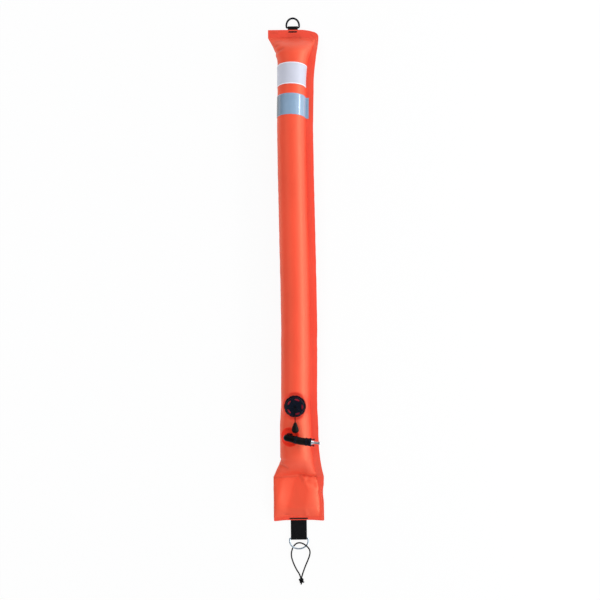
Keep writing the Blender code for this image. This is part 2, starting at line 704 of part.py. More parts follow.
def make_ring(shop, name, width, depth, wire, finish, parent):
    """A D-ring whose bar lies on local X and whose arch points to local +Y."""
    half, reach = (width - wire) / 2, depth - wire
    corner = wire * 0.6
    points = [(half * 0.6, 0, 0), (0, 0, 0), (-half * 0.6, 0, 0)]
    points += [
        (-half + corner - corner * math.sin(a), corner - corner * math.cos(a), 0)
        for a in spread(0, math.pi / 2, 4)
    ]
    points += [
        (-half * math.cos(a), RING_SIDE + (reach - RING_SIDE) * math.sin(a), 0)
        for a in spread(0, math.pi, 17)
    ]
    points += [
        (half - corner + corner * math.cos(a), corner - corner * math.sin(a), 0)
        for a in spread(0, math.pi / 2, 4)
    ]
    return shop.tube(name, points, wire / 2, finish, parent, closed=True)


def make_stitching(shop, name, width, inset, weld_z, parent):
    """The bar tack on the weld's upper face."""
    foot = weld_z + FABRIC + CLEAR
    low = (-width / 2, -inset - STITCH_BAND / 2, foot)
    high = (width / 2, -inset + STITCH_BAND / 2, foot + STITCH_THICKNESS)
    tack = shop.block(name, low, high, "webbing", parent)
    rounded = tack.modifiers.new("rounded", "BEVEL")
    rounded.width = STITCH_THICKNESS / 4
    rounded.segments = 2


def make_ends(shop):
    """Both ends: local +Y points outwards from the fabric's edge."""
    top = shop.empty("top_edge", (SEWN_X, TOP_Y, 0))
    bottom = shop.empty("bottom_edge", (SEWN_X, HEM_Y, 0), (0, 0, math.pi))
    make_webbing(
        shop, "top_webbing_loop", TOP_WEBBING_WIDTH, TOP_WEBBING_FREE, TOP_WEBBING_TAIL, TOP_RING_WIRE,
        TOP_BAR_Z, TOP_WELD_Z, top,
    )
    make_webbing(
        shop, "bottom_webbing_loop", BOTTOM_WEBBING_WIDTH, BOTTOM_WEBBING_FREE, BOTTOM_WEBBING_TAIL,
        BOTTOM_RING_WIRE, BOTTOM_BAR_Z, HEM_Z, bottom,
    )
    make_stitching(shop, "top_stitching", TOP_STITCH_WIDTH, TOP_STITCH_INSET, TOP_WELD_Z, top)
    make_stitching(shop, "bottom_stitching", BOTTOM_STITCH_WIDTH, BOTTOM_STITCH_INSET, HEM_Z, bottom)
    top_bar = shop.empty("top_ring_axis", (0, TOP_WEBBING_FREE, TOP_BAR_Z), (-TOP_RING_DROP, 0, 0), top)
    bottom_bar = shop.empty(
        "bottom_ring_axis", (0, BOTTOM_WEBBING_FREE, BOTTOM_BAR_Z), (BOTTOM_RING_LIFT, 0, 0), bottom
    )
    make_ring(shop, "top_d_ring", TOP_RING_WIDTH, TOP_RING_DEPTH, TOP_RING_WIRE, "black_steel", top_bar)
    make_ring(
        shop, "bottom_d_ring", BOTTOM_RING_WIDTH, BOTTOM_RING_DEPTH, BOTTOM_RING_WIRE, "steel", bottom_bar
    )


def make_bungee(shop):
    bar = shop.empty("bungee_start", (SEWN_X, BOTTOM_BAR_Y, 0))
    route = [(x, -y, z) for x, y, z in BUNGEE_ROUTE]
    shop.tube("bungee_loop", smooth_route(route, BUNGEE_POINTS), BUNGEE / 2, "elastic", bar)
    first, last = Vector(route[0]), Vector(route[-1])
    centre = (first + last) / 2 - Vector((0, KNOT_LENGTH / 2 + CLEAR, 0))
    centre.z = KNOT_HEIGHT / 2 + CLEAR
    scale = (KNOT_WIDTH / KNOT_LENGTH, 1, KNOT_HEIGHT / KNOT_LENGTH)
    shop.ball("bungee_knot", KNOT_LENGTH / 2, centre, "elastic", bar, scale)


# Dump valve


def make_dump_valve(shop, port):
    """Everything on the dump valve's axis. Local Z is up from the fabric's outer face."""
    ceiling = -FABRIC - CLEAR
    floor = ceiling - DUMP_FLANGE_THICKNESS
    body = shop.turned(
        "dump_body",
        (
            (DUMP_BORE_RADIUS, DUMP_SEAT), (DUMP_NECK_RADIUS, DUMP_SEAT), (DUMP_NECK_RADIUS, ceiling),
            (DUMP_FLANGE_RADIUS, ceiling), (DUMP_FLANGE_RADIUS, floor), (DUMP_BORE_RADIUS, floor),
        ),
        "plastic", port,
    )
    bite = (DUMP_NECK_RADIUS - DUMP_BORE_RADIUS) / 2
    for index in range(DUMP_SPOKES):
        spoke = shop.block(
            f"dump_spoke_{index}",
            (DUMP_GUIDE_RADIUS / 2, -DUMP_SPOKE_WIDTH / 2, floor + CLEAR),
            (DUMP_BORE_RADIUS + bite, DUMP_SPOKE_WIDTH / 2, ceiling - CLEAR),
            parent=port,
        )
        spoke.rotation_euler.z = 2 * math.pi * index / DUMP_SPOKES
        shop.join(body, spoke, "UNION")
    guide = shop.rod("dump_guide", DUMP_GUIDE_RADIUS, floor, ceiling, parent=port, steps=SMALL_ROUND_STEPS)
    shop.join(body, guide, "UNION")
    bore = shop.rod(
        "dump_guide_bore", DUMP_STEM_RADIUS + RUNNING, 2 * floor, -floor, parent=port, steps=SMALL_ROUND_STEPS
    )
    shop.join(body, bore)

    hole = DUMP_NECK_RADIUS + RUNNING
    shop.ring("dump_gasket", hole, DUMP_FLANGE_RADIUS, CLEAR, CLEAR + GASKET, "rubber", port)
    make_clamp_ring(shop, port, hole)

    cap_inner = DUMP_CAP_RADIUS - DUMP_CAP_WALL
    disc_hole = DUMP_STEM_RADIUS + CLEAR
    shop.ring(
        "dump_diaphragm", disc_hole, cap_inner - CLEAR, DUMP_SEAT + CLEAR, DUMP_DIAPHRAGM_TOP,
        "red_rubber", port,
    )
    stem_top = DUMP_PLATE_TOP + DUMP_STEM_ABOVE
    plate_foot = DUMP_PLATE_TOP - DUMP_PLATE
    shop.turned(
        "dump_plate",
        (
            (0, stem_top), (DUMP_STEM_RADIUS, stem_top), (DUMP_STEM_RADIUS, DUMP_PLATE_TOP),
            (DUMP_PLATE_RADIUS, DUMP_PLATE_TOP), (DUMP_PLATE_RADIUS, plate_foot),
            (DUMP_STEM_RADIUS, plate_foot), (DUMP_STEM_RADIUS, floor), (0, floor),
        ),
        "plastic", port, steps=SMALL_ROUND_STEPS, ring=False,
    )
    shop.coil(
        "dump_spring", DUMP_SPRING_RADIUS, DUMP_SPRING_WIRE, DUMP_SPRING_TURNS,
        DUMP_PLATE_TOP, DUMP_CAP_CEILING, "steel", port,
    )
    make_dump_cap(shop, port, cap_inner)
    return stem_top


def make_clamp_ring(shop, port, hole):
    """The outer ring, with grips scalloped into its rim."""
    ring = shop.ring(
        "dump_clamp_ring", hole, DUMP_RING_RADIUS, DUMP_RING_FOOT, DUMP_SEAT, "plastic", port, 4 * GRIPS
    )
    for index in range(GRIPS):
        angle = 2 * math.pi * (index + 0.5) / GRIPS
        reach = DUMP_RING_RADIUS + GRIP_RADIUS - GRIP_DEPTH
        scallop = shop.rod(f"dump_grip_{index}", GRIP_RADIUS, 0, 2 * DUMP_SEAT, parent=port, steps=20)
        scallop.location = (reach * math.cos(angle), reach * math.sin(angle), 0)
        shop.join(ring, scallop)


def make_dump_cap(shop, port, inner):
    foot = DUMP_SEAT + CLEAR
    cap = shop.turned(
        "dump_cap",
        (
            (DUMP_CORD_HOLE, DUMP_CAP_TOP), (DUMP_CAP_RADIUS - DUMP_CAP_BEVEL, DUMP_CAP_TOP),
            (DUMP_CAP_RADIUS, DUMP_CAP_TOP - DUMP_CAP_BEVEL), (DUMP_CAP_RADIUS, foot), (inner, foot),
            (inner, DUMP_CAP_CEILING), (DUMP_CORD_HOLE, DUMP_CAP_CEILING),
        ),
        "plastic", port,
    )
    for index in range(DUMP_SLOTS):
        deep = 2 * DUMP_CAP_WALL
        slot = shop.rod(f"dump_slot_{index}", DUMP_SLOT_LENGTH / 2, -deep, deep, parent=port, steps=16)
        angle = 2 * math.pi * index / DUMP_SLOTS
        slot.location = (DUMP_SLOT_CIRCLE * math.cos(angle), DUMP_SLOT_CIRCLE * math.sin(angle), DUMP_CAP_TOP)
        slot.rotation_euler.z = angle
        slot.scale.x = DUMP_SLOT_WIDTH / DUMP_SLOT_LENGTH
        shop.join(cap, slot)


def make_pull(shop, port, stem_top):
    """The cord from the stem over the cap, and its toggle beyond the clamp ring."""
    start = (0.0, 0.0, stem_top + CLEAR)
    route = [start, *((0.0, -along, DUMP_CAP_TOP + up) for along, up in CORD_ROUTE)]
    shop.tube("pull_cord", smooth_route(route, CORD_POINTS), PULL_CORD / 2, "elastic", port)
    profile = [(TOGGLE_RADIUS * radius, TOGGLE_LENGTH * along) for radius, along in TOGGLE_OUTLINE]
    profile += [(TOGGLE_NECK, 0), (0, 0)]
    toggle = shop.turned("pull_toggle", profile, "rubber", port, steps=SMALL_ROUND_STEPS, ring=False)
    end = route[-1]
    toggle.location = (end[0], end[1] - CLEAR, end[2])
    toggle.rotation_euler = (math.pi / 2, 0, 0)
    toggle.scale = (1, TOGGLE_FLATNESS, 1)


# Inflator


def make_inflator_port(shop, port):
    """The clamped base, in the tilted frame of the port. Local Z is up from the fabric's outer face."""
    ceiling = -FABRIC - CLEAR
    floor = ceiling - INFLATOR_FLANGE_THICKNESS
    groove = SPIGOT_RADIUS - O_RING_GROOVE
    half = O_RING_WIRE / 2 + CLEAR
    shop.turned(
        "inflator_base",
        (
            (INFLATOR_BORE_RADIUS, SPIGOT_TOP), (SPIGOT_RADIUS, SPIGOT_TOP), (SPIGOT_RADIUS, O_RING_Z + half),
            (groove, O_RING_Z + half), (groove, O_RING_Z - half), (SPIGOT_RADIUS, O_RING_Z - half),
            (SPIGOT_RADIUS, NECK_TOP), (INFLATOR_NECK_RADIUS, NECK_TOP), (INFLATOR_NECK_RADIUS, ceiling),
            (INFLATOR_FLANGE_RADIUS, ceiling), (INFLATOR_FLANGE_RADIUS, floor), (INFLATOR_BORE_RADIUS, floor),
        ),
        "plastic", port, steps=24,
    )
    make_o_ring(shop, "elbow_o_ring", O_RING_CIRCLE, O_RING_WIRE, O_RING_Z, port)
    hole = INFLATOR_NECK_RADIUS + RUNNING
    flats = INFLATOR_NUT_RADIUS * math.cos(math.pi / 6)
    gasket_foot = PATCH_TOP + CLEAR
    shop.ring("inflator_gasket", hole, flats, gasket_foot, gasket_foot + GASKET, "rubber", port, 24)
    nut_top = NUT_FOOT + INFLATOR_NUT_HEIGHT
    nut = shop.rod("inflator_nut", INFLATOR_NUT_RADIUS, NUT_FOOT, nut_top, "plastic", port, steps=6)
    shop.join(nut, shop.rod("inflator_nut_thread", hole, 0, 2 * NECK_TOP, parent=port, steps=24))


def make_o_ring(shop, name, circle, wire, z, parent):
    profile = [
        (circle + wire / 2 * math.sin(a), z + wire / 2 * math.cos(a))
        for a in (2 * math.pi * i / 8 for i in range(8))
    ]
    shop.turned(name, profile, "rubber", parent, steps=SMALL_ROUND_STEPS)


def hose_path():
    """Points and directions of the hose in the port's frame: straight, one even bend, straight again."""
    start_yaw = math.radians(ELBOW_DEG)
    yaw_change, droop = math.radians(HOSE_SIDEWAYS_DEG), math.radians(HOSE_DROOP_DEG)
    bend = HOSE_LENGTH - 2 * HOSE_STRAIGHT
    steps = 8

    def heading(share):
        yaw, pitch = start_yaw + share * yaw_change, -share * droop
        return Vector((math.cos(yaw) * math.cos(pitch), math.sin(yaw) * math.cos(pitch), math.sin(pitch)))

    at = Vector((0, 0, ELBOW_AXIS)) + heading(0) * ELBOW_ARM
    points = [at + heading(0) * CLEAR, at + heading(0) * HOSE_STRAIGHT]
    for i in range(steps):
        points.append(points[-1] + heading((i + 0.5) / steps) * bend / steps)
    points.append(points[-1] + heading(1) * (HOSE_STRAIGHT - CLEAR))
    return points, points[-1] + heading(1) * CLEAR, heading(0), heading(1)


def facing(direction):
    """The rotation that turns local Z to a direction in the port's frame, with local Y kept level."""
    yaw = math.atan2(direction.y, direction.x)
    lean = math.acos(direction.z)
    return (0, lean, yaw)


def make_elbow(shop, port):
    points, _, out, _ = hose_path()
    arm_axis = shop.empty("elbow_arm_axis", (0, 0, ELBOW_AXIS), facing(out), port)
    elbow = shop.rod("inflator_elbow", ELBOW_POST_RADIUS, ELBOW_FOOT, ELBOW_AXIS, "plastic", port, steps=24)
    barb_end = ELBOW_ARM + BARB_LENGTH
    for added in (
        shop.rod("elbow_arm", ELBOW_RADIUS, -ELBOW_HEEL, ELBOW_ARM, parent=arm_axis, steps=24),
        shop.ball("elbow_heel", ELBOW_RADIUS, (0, 0, -ELBOW_HEEL), parent=arm_axis, steps=24),
        shop.rod("elbow_barb", BARB_RADIUS, ELBOW_ARM / 2, barb_end, parent=arm_axis, steps=24),
    ):
        shop.join(elbow, added, "UNION")
    socket = shop.rod("elbow_socket", SOCKET_RADIUS, 0, SPIGOT_TOP + CLEAR, parent=port, steps=24)
    riser = shop.rod("elbow_riser", INFLATOR_BORE_RADIUS, SPIGOT_TOP, ELBOW_AXIS, parent=port, steps=16)
    bore_end = ELBOW_ARM + 2 * BARB_LENGTH
    bore = shop.rod("elbow_bore", INFLATOR_BORE_RADIUS, 0, bore_end, parent=arm_axis, steps=16)
    for cutter in (socket, riser, bore):
        shop.join(elbow, cutter)
    return arm_axis


def make_hose(shop, port, arm_axis, mouth):
    points, _, out, away = hose_path()
    hose = shop.tube_mesh("inflator_hose", points, HOSE_RADIUS, "rubber", port)
    through = [points[0] - out * CLEAR, *points[1:-1], points[-1] + away * CLEAR]
    bore_radius = HOSE_BORE_RADIUS / math.cos(math.pi / HOSE_SIDES)
    shop.join(hose, shop.tube_mesh("inflator_hose_bore", through, bore_radius, parent=port))
    inner = HOSE_RADIUS + CLEAR
    for name, frame, foot in (
        ("elbow_hose_clip", arm_axis, ELBOW_ARM + CLIP_SET_BACK),
        ("housing_hose_clip", mouth, -CLIP_SET_BACK - CLIP_WIDTH),
    ):
        shop.ring(name, inner, inner + CLIP_THICKNESS, foot, foot + CLIP_WIDTH, "plastic", frame, 24)


def make_mouthpiece(shop, mouth):
    """Valve housing, lock ring, nipple, spring and seal. Local Z points out along the nipple."""
    back = -BARB_LENGTH
    lip = back + HOUSING_LIP
    shop.turned(
        "inflator_housing",
        (
            (HOUSING_BORE_RADIUS, HOUSING_FRONT), (HOUSING_RADIUS, HOUSING_FRONT), (HOUSING_RADIUS, CLEAR),
            (BARB_RADIUS, CLEAR), (BARB_RADIUS, back), (INFLATOR_BORE_RADIUS / 2, back),
            (INFLATOR_BORE_RADIUS / 2, lip), (HOUSING_BORE_RADIUS, lip),
        ),
        "plastic", mouth, steps=24,
    )
    lock_foot = HOUSING_FRONT + CLEAR
    lock = shop.ring(
        "lock_ring", NIPPLE_CONE_RADIUS + RUNNING, LOCK_RING_RADIUS, lock_foot, LOCK_RING_FRONT,
        "plastic", mouth, 24,
    )
    tip_z = LOCK_RING_FRONT + PRONG_LENGTH
    for index, side in enumerate((-1, 1)):
        root = lock_foot + CLEAR
        prong = shop.rod(f"lock_prong_{index}", PRONG_RADIUS, root, tip_z, parent=mouth, steps=12)
        tip = shop.ball(f"lock_tip_{index}", PRONG_TIP_RADIUS, (0, 0, tip_z), parent=mouth, steps=12)
        for added in (prong, tip):
            added.location = (0, side * PRONG_CIRCLE, 0)
            shop.join(lock, added, "UNION")

    shank_back = NIPPLE_SHOULDER - NIPPLE_SHANK_LENGTH - NIPPLE_TRAVEL - CLEAR
    groove = SHANK_RADIUS - SEAL_WIRE
    seal_z = shank_back + SEAL_WIRE + 3 * CLEAR
    half = SEAL_WIRE / 2 + CLEAR
    shop.turned(
        "inflator_nipple",
        (
            (NIPPLE_BORE_RADIUS, NIPPLE_END), (NIPPLE_TIP_RADIUS * 0.75, NIPPLE_END),
            (NIPPLE_TIP_RADIUS, NIPPLE_END - NIPPLE_TIP_LENGTH * 0.25),
            (NIPPLE_TIP_RADIUS, STEM_END + NIPPLE_TIP_LENGTH * 0.25), (NIPPLE_STEM_RADIUS, STEM_END),
            (NIPPLE_STEM_RADIUS, CONE_END), (NIPPLE_CONE_RADIUS, LOCK_RING_FRONT),
            (NIPPLE_CONE_RADIUS, NIPPLE_SHOULDER), (SHANK_RADIUS, NIPPLE_SHOULDER),
            (SHANK_RADIUS, seal_z + half), (groove, seal_z + half), (groove, seal_z - half),
            (SHANK_RADIUS, seal_z - half), (SHANK_RADIUS, shank_back), (NIPPLE_BORE_RADIUS, shank_back),
        ),
        "steel", mouth, steps=24,
    )
    make_o_ring(shop, "nipple_seal", groove + CLEAR + SEAL_WIRE / 2, SEAL_WIRE, seal_z, mouth)
    spring_radius = HOUSING_BORE_RADIUS - CLEAR - INNER_SPRING_WIRE
    shop.coil(
        "inflator_spring", spring_radius, INNER_SPRING_WIRE, INNER_SPRING_TURNS, lip, shank_back,
        "steel", mouth,
    )


def main():
    shop = Workshop()
    dump = shop.empty("dump_valve_axis", (DUMP_X, HEM_Y + DUMP_FROM_HEM, DUMP_SEAT_Z))
    tilt = (0, -math.radians(INFLATOR_TILT_DEG), 0)
    inflator = shop.empty("inflator_axis", (INFLATOR_X, HEM_Y + INFLATOR_FROM_HEM, INFLATOR_SEAT_Z), tilt)
    make_bladder(shop, dump, inflator)
    make_band(shop, "white_panel", PANEL_FROM_HEM, PANEL_WIDTH, "panel", 0.0)
    make_band(shop, "reflective_tape", TAPE_FROM_HEM, TAPE_WIDTH, "tape", TAPE_TAIL)
    make_patch(shop, inflator)
    make_ends(shop)
    make_bungee(shop)
    stem_top = make_dump_valve(shop, dump)
    make_pull(shop, dump, stem_top)
    make_inflator_port(shop, inflator)
    arm_axis = make_elbow(shop, inflator)
    _, hose_end, _, away = hose_path()
    mouth = shop.empty("mouthpiece_axis", hose_end, facing(away), inflator)
    make_hose(shop, inflator, arm_axis, mouth)
    make_mouthpiece(shop, mouth)


main()
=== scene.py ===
"""Looks of an inflated surface marker buoy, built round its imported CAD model.

Metres, +Z up. +Y runs along the tube to the top D-ring, and +X points to the welded side flange.
Along the tube, places are measured from the hem, the bottom edge of the fabric.
"""

import math

import bmesh
import bpy
from bpy.props import FloatProperty, FloatVectorProperty, IntProperty, PointerProperty
from mathutils import Euler, Matrix, Vector, noise


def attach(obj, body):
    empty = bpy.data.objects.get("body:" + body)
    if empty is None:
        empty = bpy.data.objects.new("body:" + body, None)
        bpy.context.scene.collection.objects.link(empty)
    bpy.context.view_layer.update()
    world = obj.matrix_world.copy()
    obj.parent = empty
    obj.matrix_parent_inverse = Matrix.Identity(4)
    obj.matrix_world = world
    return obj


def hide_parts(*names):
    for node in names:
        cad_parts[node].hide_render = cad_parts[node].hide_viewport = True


bl_info = {
    "name": "Surface marker buoy",
    "version": (1, 0, 0),
    "blender": (4, 5, 0),
    "location": "3D View > Sidebar > Buoy",
    "description": "Builds an inflated surface marker buoy round its frame",
    "category": "Object",
}

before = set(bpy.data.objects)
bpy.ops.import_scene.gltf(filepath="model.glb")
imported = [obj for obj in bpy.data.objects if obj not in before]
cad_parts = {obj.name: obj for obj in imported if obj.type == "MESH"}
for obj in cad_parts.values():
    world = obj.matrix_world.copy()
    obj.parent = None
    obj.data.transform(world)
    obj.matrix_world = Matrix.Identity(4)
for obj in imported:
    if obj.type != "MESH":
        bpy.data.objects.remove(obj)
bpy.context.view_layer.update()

# The fabric tube, as the frame has it
BLADDER_LENGTH = 1.216
HEM_Y = -0.58852
FLAT_WIDTH = 0.125
TUBE_WIDTH = 0.069
TUBE_HEIGHT = 0.061
FLANGE_WIDTH = 0.0195
FLANGE_AT_TOP = 0.0095
FLANGE_AT_FOOT = 0.0112
FOOT_FLAT_RIGHT = 1.3
LEAST_FLANGE = 0.004
FLANGE_FILLET = 0.0030
FLANGE_NARROWS = 1.125
FOOT_FLANGE_START = 0.070
FOOT_FLANGE_END = 0.118
FABRIC = 0.0006
FLAT_UNDERSIDE = 0.0018
WELD_EDGE = 0.0008
TOP_WELD = 0.020
TOP_WELD_Z = 0.0105
TOP_TAPER = 0.056
TOP_SHOULDER = 0.075
TOP_FLANGE_TAPER = 0.140
TOP_CORNER_DROP = 0.0100
TOP_CORNER_START = 0.0150
TOP_CORNER_ROUND = 0.0085
HEM_WELD = 0.009
HEM_Z = 0.0047
HEM_CORNER_ROUND = 0.0025
HEM_REACH = 0.02
CREASE_FROM_HEM = 0.112
CREASE_REACH = 0.035
FOOT_HEIGHT = 0.012
FOOT_PUFF = 0.005
FOOT_EDGE_Z = 0.005
FOOT_TAPER = 0.028
BOTTOM_TAPER = 0.066
SHOULDER = 0.040
FLANGE_SHOULDER = 0.090
FOOT_SPREAD = 0.0030
FOOT_SPREAD_START = 0.225
FOOT_SPREAD_END = 0.300
TUBE_MIDDLE = ((0.100, -0.0066), (0.220, -0.0066), (0.500, -0.0040), (0.950, -0.0078), (1.120, -0.0048))

# Bands
PANEL_START = 1.0659
PANEL_WIDTH = 0.0520
TAPE_START = 0.9922
TAPE_WIDTH = 0.0510
TAPE_TAIL = 0.0070
BAND_BACK_Z = 0.014
BAND_SLANT = math.tan(math.radians(1.5))
BAND_LIFT = 0.0009
BAND_BOW = 0.0032
BORDER_DEPTH = 0.00006
CLOSE_LIFT = 0.0002

# Webbing and rings
SEWN_X = -0.0010
RING_SIDE = 0.0060
RING_WIRE = 0.0040
TOP_BAR_Y = 0.63398
TOP_BAR_Z = 0.00765
BOTTOM_BAR_Y = -0.63452
BOTTOM_BAR_Z = 0.00365
STRAP = 0.0012
STRAP_GAP = 0.0003
# How a bar tack's threads turn and grow, at least and at most
TACK_TURN = ((-0.05, -0.05, -0.22), (0.05, 0.05, 0.22))
TACK_GROWTH = ((0.85, 0.78, 0.8), (1.0, 1.0, 1.0))
TOP_FRAME = Matrix.Translation((SEWN_X, HEM_Y + BLADDER_LENGTH, 0))
BOTTOM_FRAME = Matrix.Translation((SEWN_X, HEM_Y, 0)) @ Matrix.Rotation(math.pi, 4, "Z")

# The elastic loop: to the right, towards the knot, and up from the floor
BUNGEE_START = Vector((SEWN_X, BOTTOM_BAR_Y, 0))
BUNGEE = 0.0034
BUNGEE_ROUTE = (
    (0.0056, 0.0975, 0.0030), (0.0090, 0.0868, 0.0021), (0.0153, 0.0700, 0.0019),
    (0.0214, 0.0560, 0.0019), (0.0257, 0.0445, 0.0022), (0.0271, 0.0350, 0.0046),
    (0.0256, 0.0266, 0.0086), (0.0207, 0.0190, 0.0110), (0.0133, 0.0132, 0.0102),
    (0.0046, 0.0104, 0.0074), (-0.0040, 0.0118, 0.0045), (-0.0112, 0.0176, 0.0022),
    (-0.0165, 0.0268, 0.0019), (-0.0192, 0.0380, 0.0019), (-0.0182, 0.0500, 0.0019),
    (-0.0136, 0.0640, 0.0019), (-0.0070, 0.0780, 0.0019), (-0.0004, 0.0890, 0.0021),
    (0.0030, 0.0975, 0.0030),
)
KNOT_BELOW = 0.0070
KNOT_Z = 0.0052
KNOT_WIDE = 0.00160
KNOT_LONG = 0.00165
KNOT_HIGH = 0.0022
KNOT_ENDS = {
    "tail_a": ((0.0004, -0.0030, 0.0), (0.0008, -0.0066, -0.0012), (0.0000, -0.0100, -0.0028)),
    "tail_b": ((0.0010, -0.0010, 0.0006), (0.0038, -0.0036, 0.0002), (0.0062, -0.0046, -0.0016)),
    "enter_a": ((0.0013, 0.0070, -0.0022), (0.0010, 0.0044, -0.0006), (0.0004, 0.0012, 0.0)),
    "enter_b": ((-0.0013, 0.0070, -0.0022), (-0.0010, 0.0044, 0.0002), (-0.0002, 0.0012, 0.0)),
}

# Dump valve, up from the fabric's outer face
DUMP_X = -0.0064
DUMP_FROM_HEM = 0.2908
DUMP_SEAT_Z = 0.0560
DUMP_RADIUS = 0.0262
DUMP_RING_FOOT = 0.0016
DUMP_RING_TOP = 0.0056
DUMP_CAP_FOOT = 0.0059
DUMP_CAP_TOP = 0.0149
DUMP_CAP_RADIUS = 0.0224
DUMP_CAP_WALL = 0.0014
DUMP_CORD_HOLE = 0.0024
DUMP_STEM_TOP = 0.0104
DUMP_HALO = (0.034, 0.037)
GRIP_DEPTH = 0.0008
CAP_SLOTS = 5
SLOT_CIRCLE = 0.0176
DIAPHRAGM_PROFILE = (
    (0.0120, 0.0060), (0.0203, 0.0060), (0.0203, 0.0100), (0.0192, 0.0109), (0.0160, 0.0109),
    (0.0148, 0.0100), (0.0142, 0.0070), (0.0120, 0.0069),
)
DUMP_FRAME = Matrix.Translation((DUMP_X, HEM_Y + DUMP_FROM_HEM, DUMP_SEAT_Z))

# Pull cord, from the cap's centre: towards the toggle, and up from the cap's flat top
PULL_CORD = 0.0022
PULL_ROUTE = (
    (0.0000, -0.0020), (0.0000, 0.0004), (0.0008, 0.0026), (0.0030, 0.0045), (0.0062, 0.0047),
    (0.0100, 0.0033), (0.0150, 0.0020), (0.0200, 0.0015), (0.0245, 0.0009), (0.0285, -0.0008),
    (0.0320, -0.0020), (0.0350, -0.0028), (0.0373, -0.0030),
)
TOGGLE_LENGTH = 0.0250
TOGGLE_RADIUS = 0.0086
TOGGLE_FLATNESS = 0.65
TOGGLE_OUTLINE = (
    (0.30, 1.00), (0.58, 0.975), (0.80, 0.91), (0.97, 0.80), (1.00, 0.68), (0.93, 0.54), (0.76, 0.38),
    (0.54, 0.18), (0.34, 0.03), (0.28, 0.00),
)
TOGGLE_GROOVES = (0.70, 0.62, 0.54)

# Inflator, up from the fabric's outer face in the port's tilted frame
INFLATOR_X = -0.0193
INFLATOR_FROM_HEM = 0.2168
INFLATOR_SEAT_Z = 0.0555
INFLATOR_TILT = math.radians(12)
INFLATOR_FLANGE_RADIUS = 0.0140
PATCH_RADIUS = 0.0235
PATCH_LIFT = 0.0010
NUT_FOOT = 0.0026
NUT_RADIUS = 0.0106
NUT_HEIGHT = 0.0045
NUT_HOLE = 0.0078
ELBOW_FOOT = 0.0077
ELBOW_AXIS = 0.0167
ELBOW_RADIUS = 0.0082
ELBOW_POST_RADIUS = 0.0079
ELBOW_HEEL = 0.0042
ELBOW_ARM = 0.0141
ELBOW_VOXEL = 0.00035
ELBOW_YAW = math.radians(-12)
HOSE_RADIUS = 0.0088
HOSE_BORE = 0.0068
HOSE_RIDGE = 0.00016
HOSE_RIDGE_STEP = 0.0021
HOSE_SIDES = 48
HOSE_LENGTH = 0.0348
HOSE_STRAIGHT = 0.0100
HOSE_TURN = math.radians(7)
HOSE_DROOP = math.radians(4)
CLIP_WIDTH = 0.0036
CLIP_SET_BACK = 0.0030
HOUSING_RADIUS = 0.0092
HOUSING_FRONT = 0.0035
HOUSING_BORE = HOUSING_RADIUS - 0.0036
BARB_RADIUS = 0.0065
BARB_LENGTH = 0.0090
LOCK_FOOT = 0.0038
LOCK_FRONT = 0.0072
LOCK_RADIUS = 0.0098
PRONG_LENGTH = 0.0062
PRONG_RADIUS = 0.0011
PRONG_CIRCLE = 0.0074
PRONG_TIP_RADIUS = 0.0020
CONE_RADIUS = 0.0057
CONE_END = 0.0146
STEM_RADIUS = 0.0030
STEM_END = 0.0242
TIP_RADIUS = 0.0036
TIP_END = 0.0292
SHANK_BACK = 0.0003
SHANK_RADIUS = 0.0051
NIPPLE_SHOULDER = 0.0068
NIPPLE_BORE = 0.0014
NIPPLE_PROFILE = (
    (NIPPLE_BORE, TIP_END), (TIP_RADIUS * 0.75, TIP_END), (TIP_RADIUS, TIP_END - 0.00125),
    (TIP_RADIUS, STEM_END + 0.00125), (STEM_RADIUS, STEM_END), (STEM_RADIUS, CONE_END),
    (CONE_RADIUS, LOCK_FRONT), (CONE_RADIUS, NIPPLE_SHOULDER), (SHANK_RADIUS, NIPPLE_SHOULDER),
    (SHANK_RADIUS, 0.0029), (0.0042, 0.0028), (0.0042, 0.0013), (SHANK_RADIUS, 0.0012),
    (SHANK_RADIUS, SHANK_BACK + 0.0001), (NIPPLE_BORE, SHANK_BACK + 0.0001),
)
INFLATOR_FRAME = (
    Matrix.Translation((INFLATOR_X, HEM_Y + INFLATOR_FROM_HEM, INFLATOR_SEAT_Z))
    @ Matrix.Rotation(-INFLATOR_TILT, 4, "Y")
)
SEATS = (
    (DUMP_X, DUMP_FROM_HEM, DUMP_SEAT_Z, 0.0, DUMP_RADIUS),
    (INFLATOR_X, INFLATOR_FROM_HEM, INFLATOR_SEAT_Z, INFLATOR_TILT, INFLATOR_FLANGE_RADIUS),
)

# Folds in the upper fabric: from and to, in X and from the hem, depth and half width
FOLDS = (
    ((-0.0443, 1.1790), (-0.0285, 1.1825), -0.0008, 0.0024),
    ((-0.0443, 1.1637), (-0.0365, 1.1680), -0.0009, 0.0022),
    ((-0.0400, 1.1493), (-0.0233, 1.1580), -0.0011, 0.0026),
    ((-0.0140, 1.2020), (0.0150, 1.2015), -0.00001, 0.0055),
    ((-0.0340, 1.1965), (0.0150, 1.1955), -0.0006, 0.0016),
    ((-0.0570, 1.2090), (-0.0400, 1.2080), -0.0005, 0.0022),
    ((0.0400, 1.1930), (0.0500, 1.1880), -0.0010, 0.0022),
    ((0.0430, 1.2085), (0.0520, 1.2010), -0.0005, 0.0018),
    ((0.0140, 1.2050), (0.0185, 1.1900), -0.0006, 0.0020),
    ((-0.0440, 0.1470), (-0.0265, 0.1362), -0.0024, 0.0034),
    ((-0.0440, 0.1560), (-0.0370, 0.1520), -0.0012, 0.0022),
    ((-0.0620, 0.1108), (-0.0080, 0.1085), -0.0006, 0.0028),
    ((0.0040, 0.1122), (0.0440, 0.1120), -0.0012, 0.0020),
    ((0.0155, 0.0270), (0.0200, 0.0110), 0.0012, 0.0030),
    ((-0.0360, 0.0140), (-0.0250, 0.0150), -0.0010, 0.0022),
    ((0.0450, 0.0700), (0.0600, 0.0665), -0.0008, 0.0030),
)
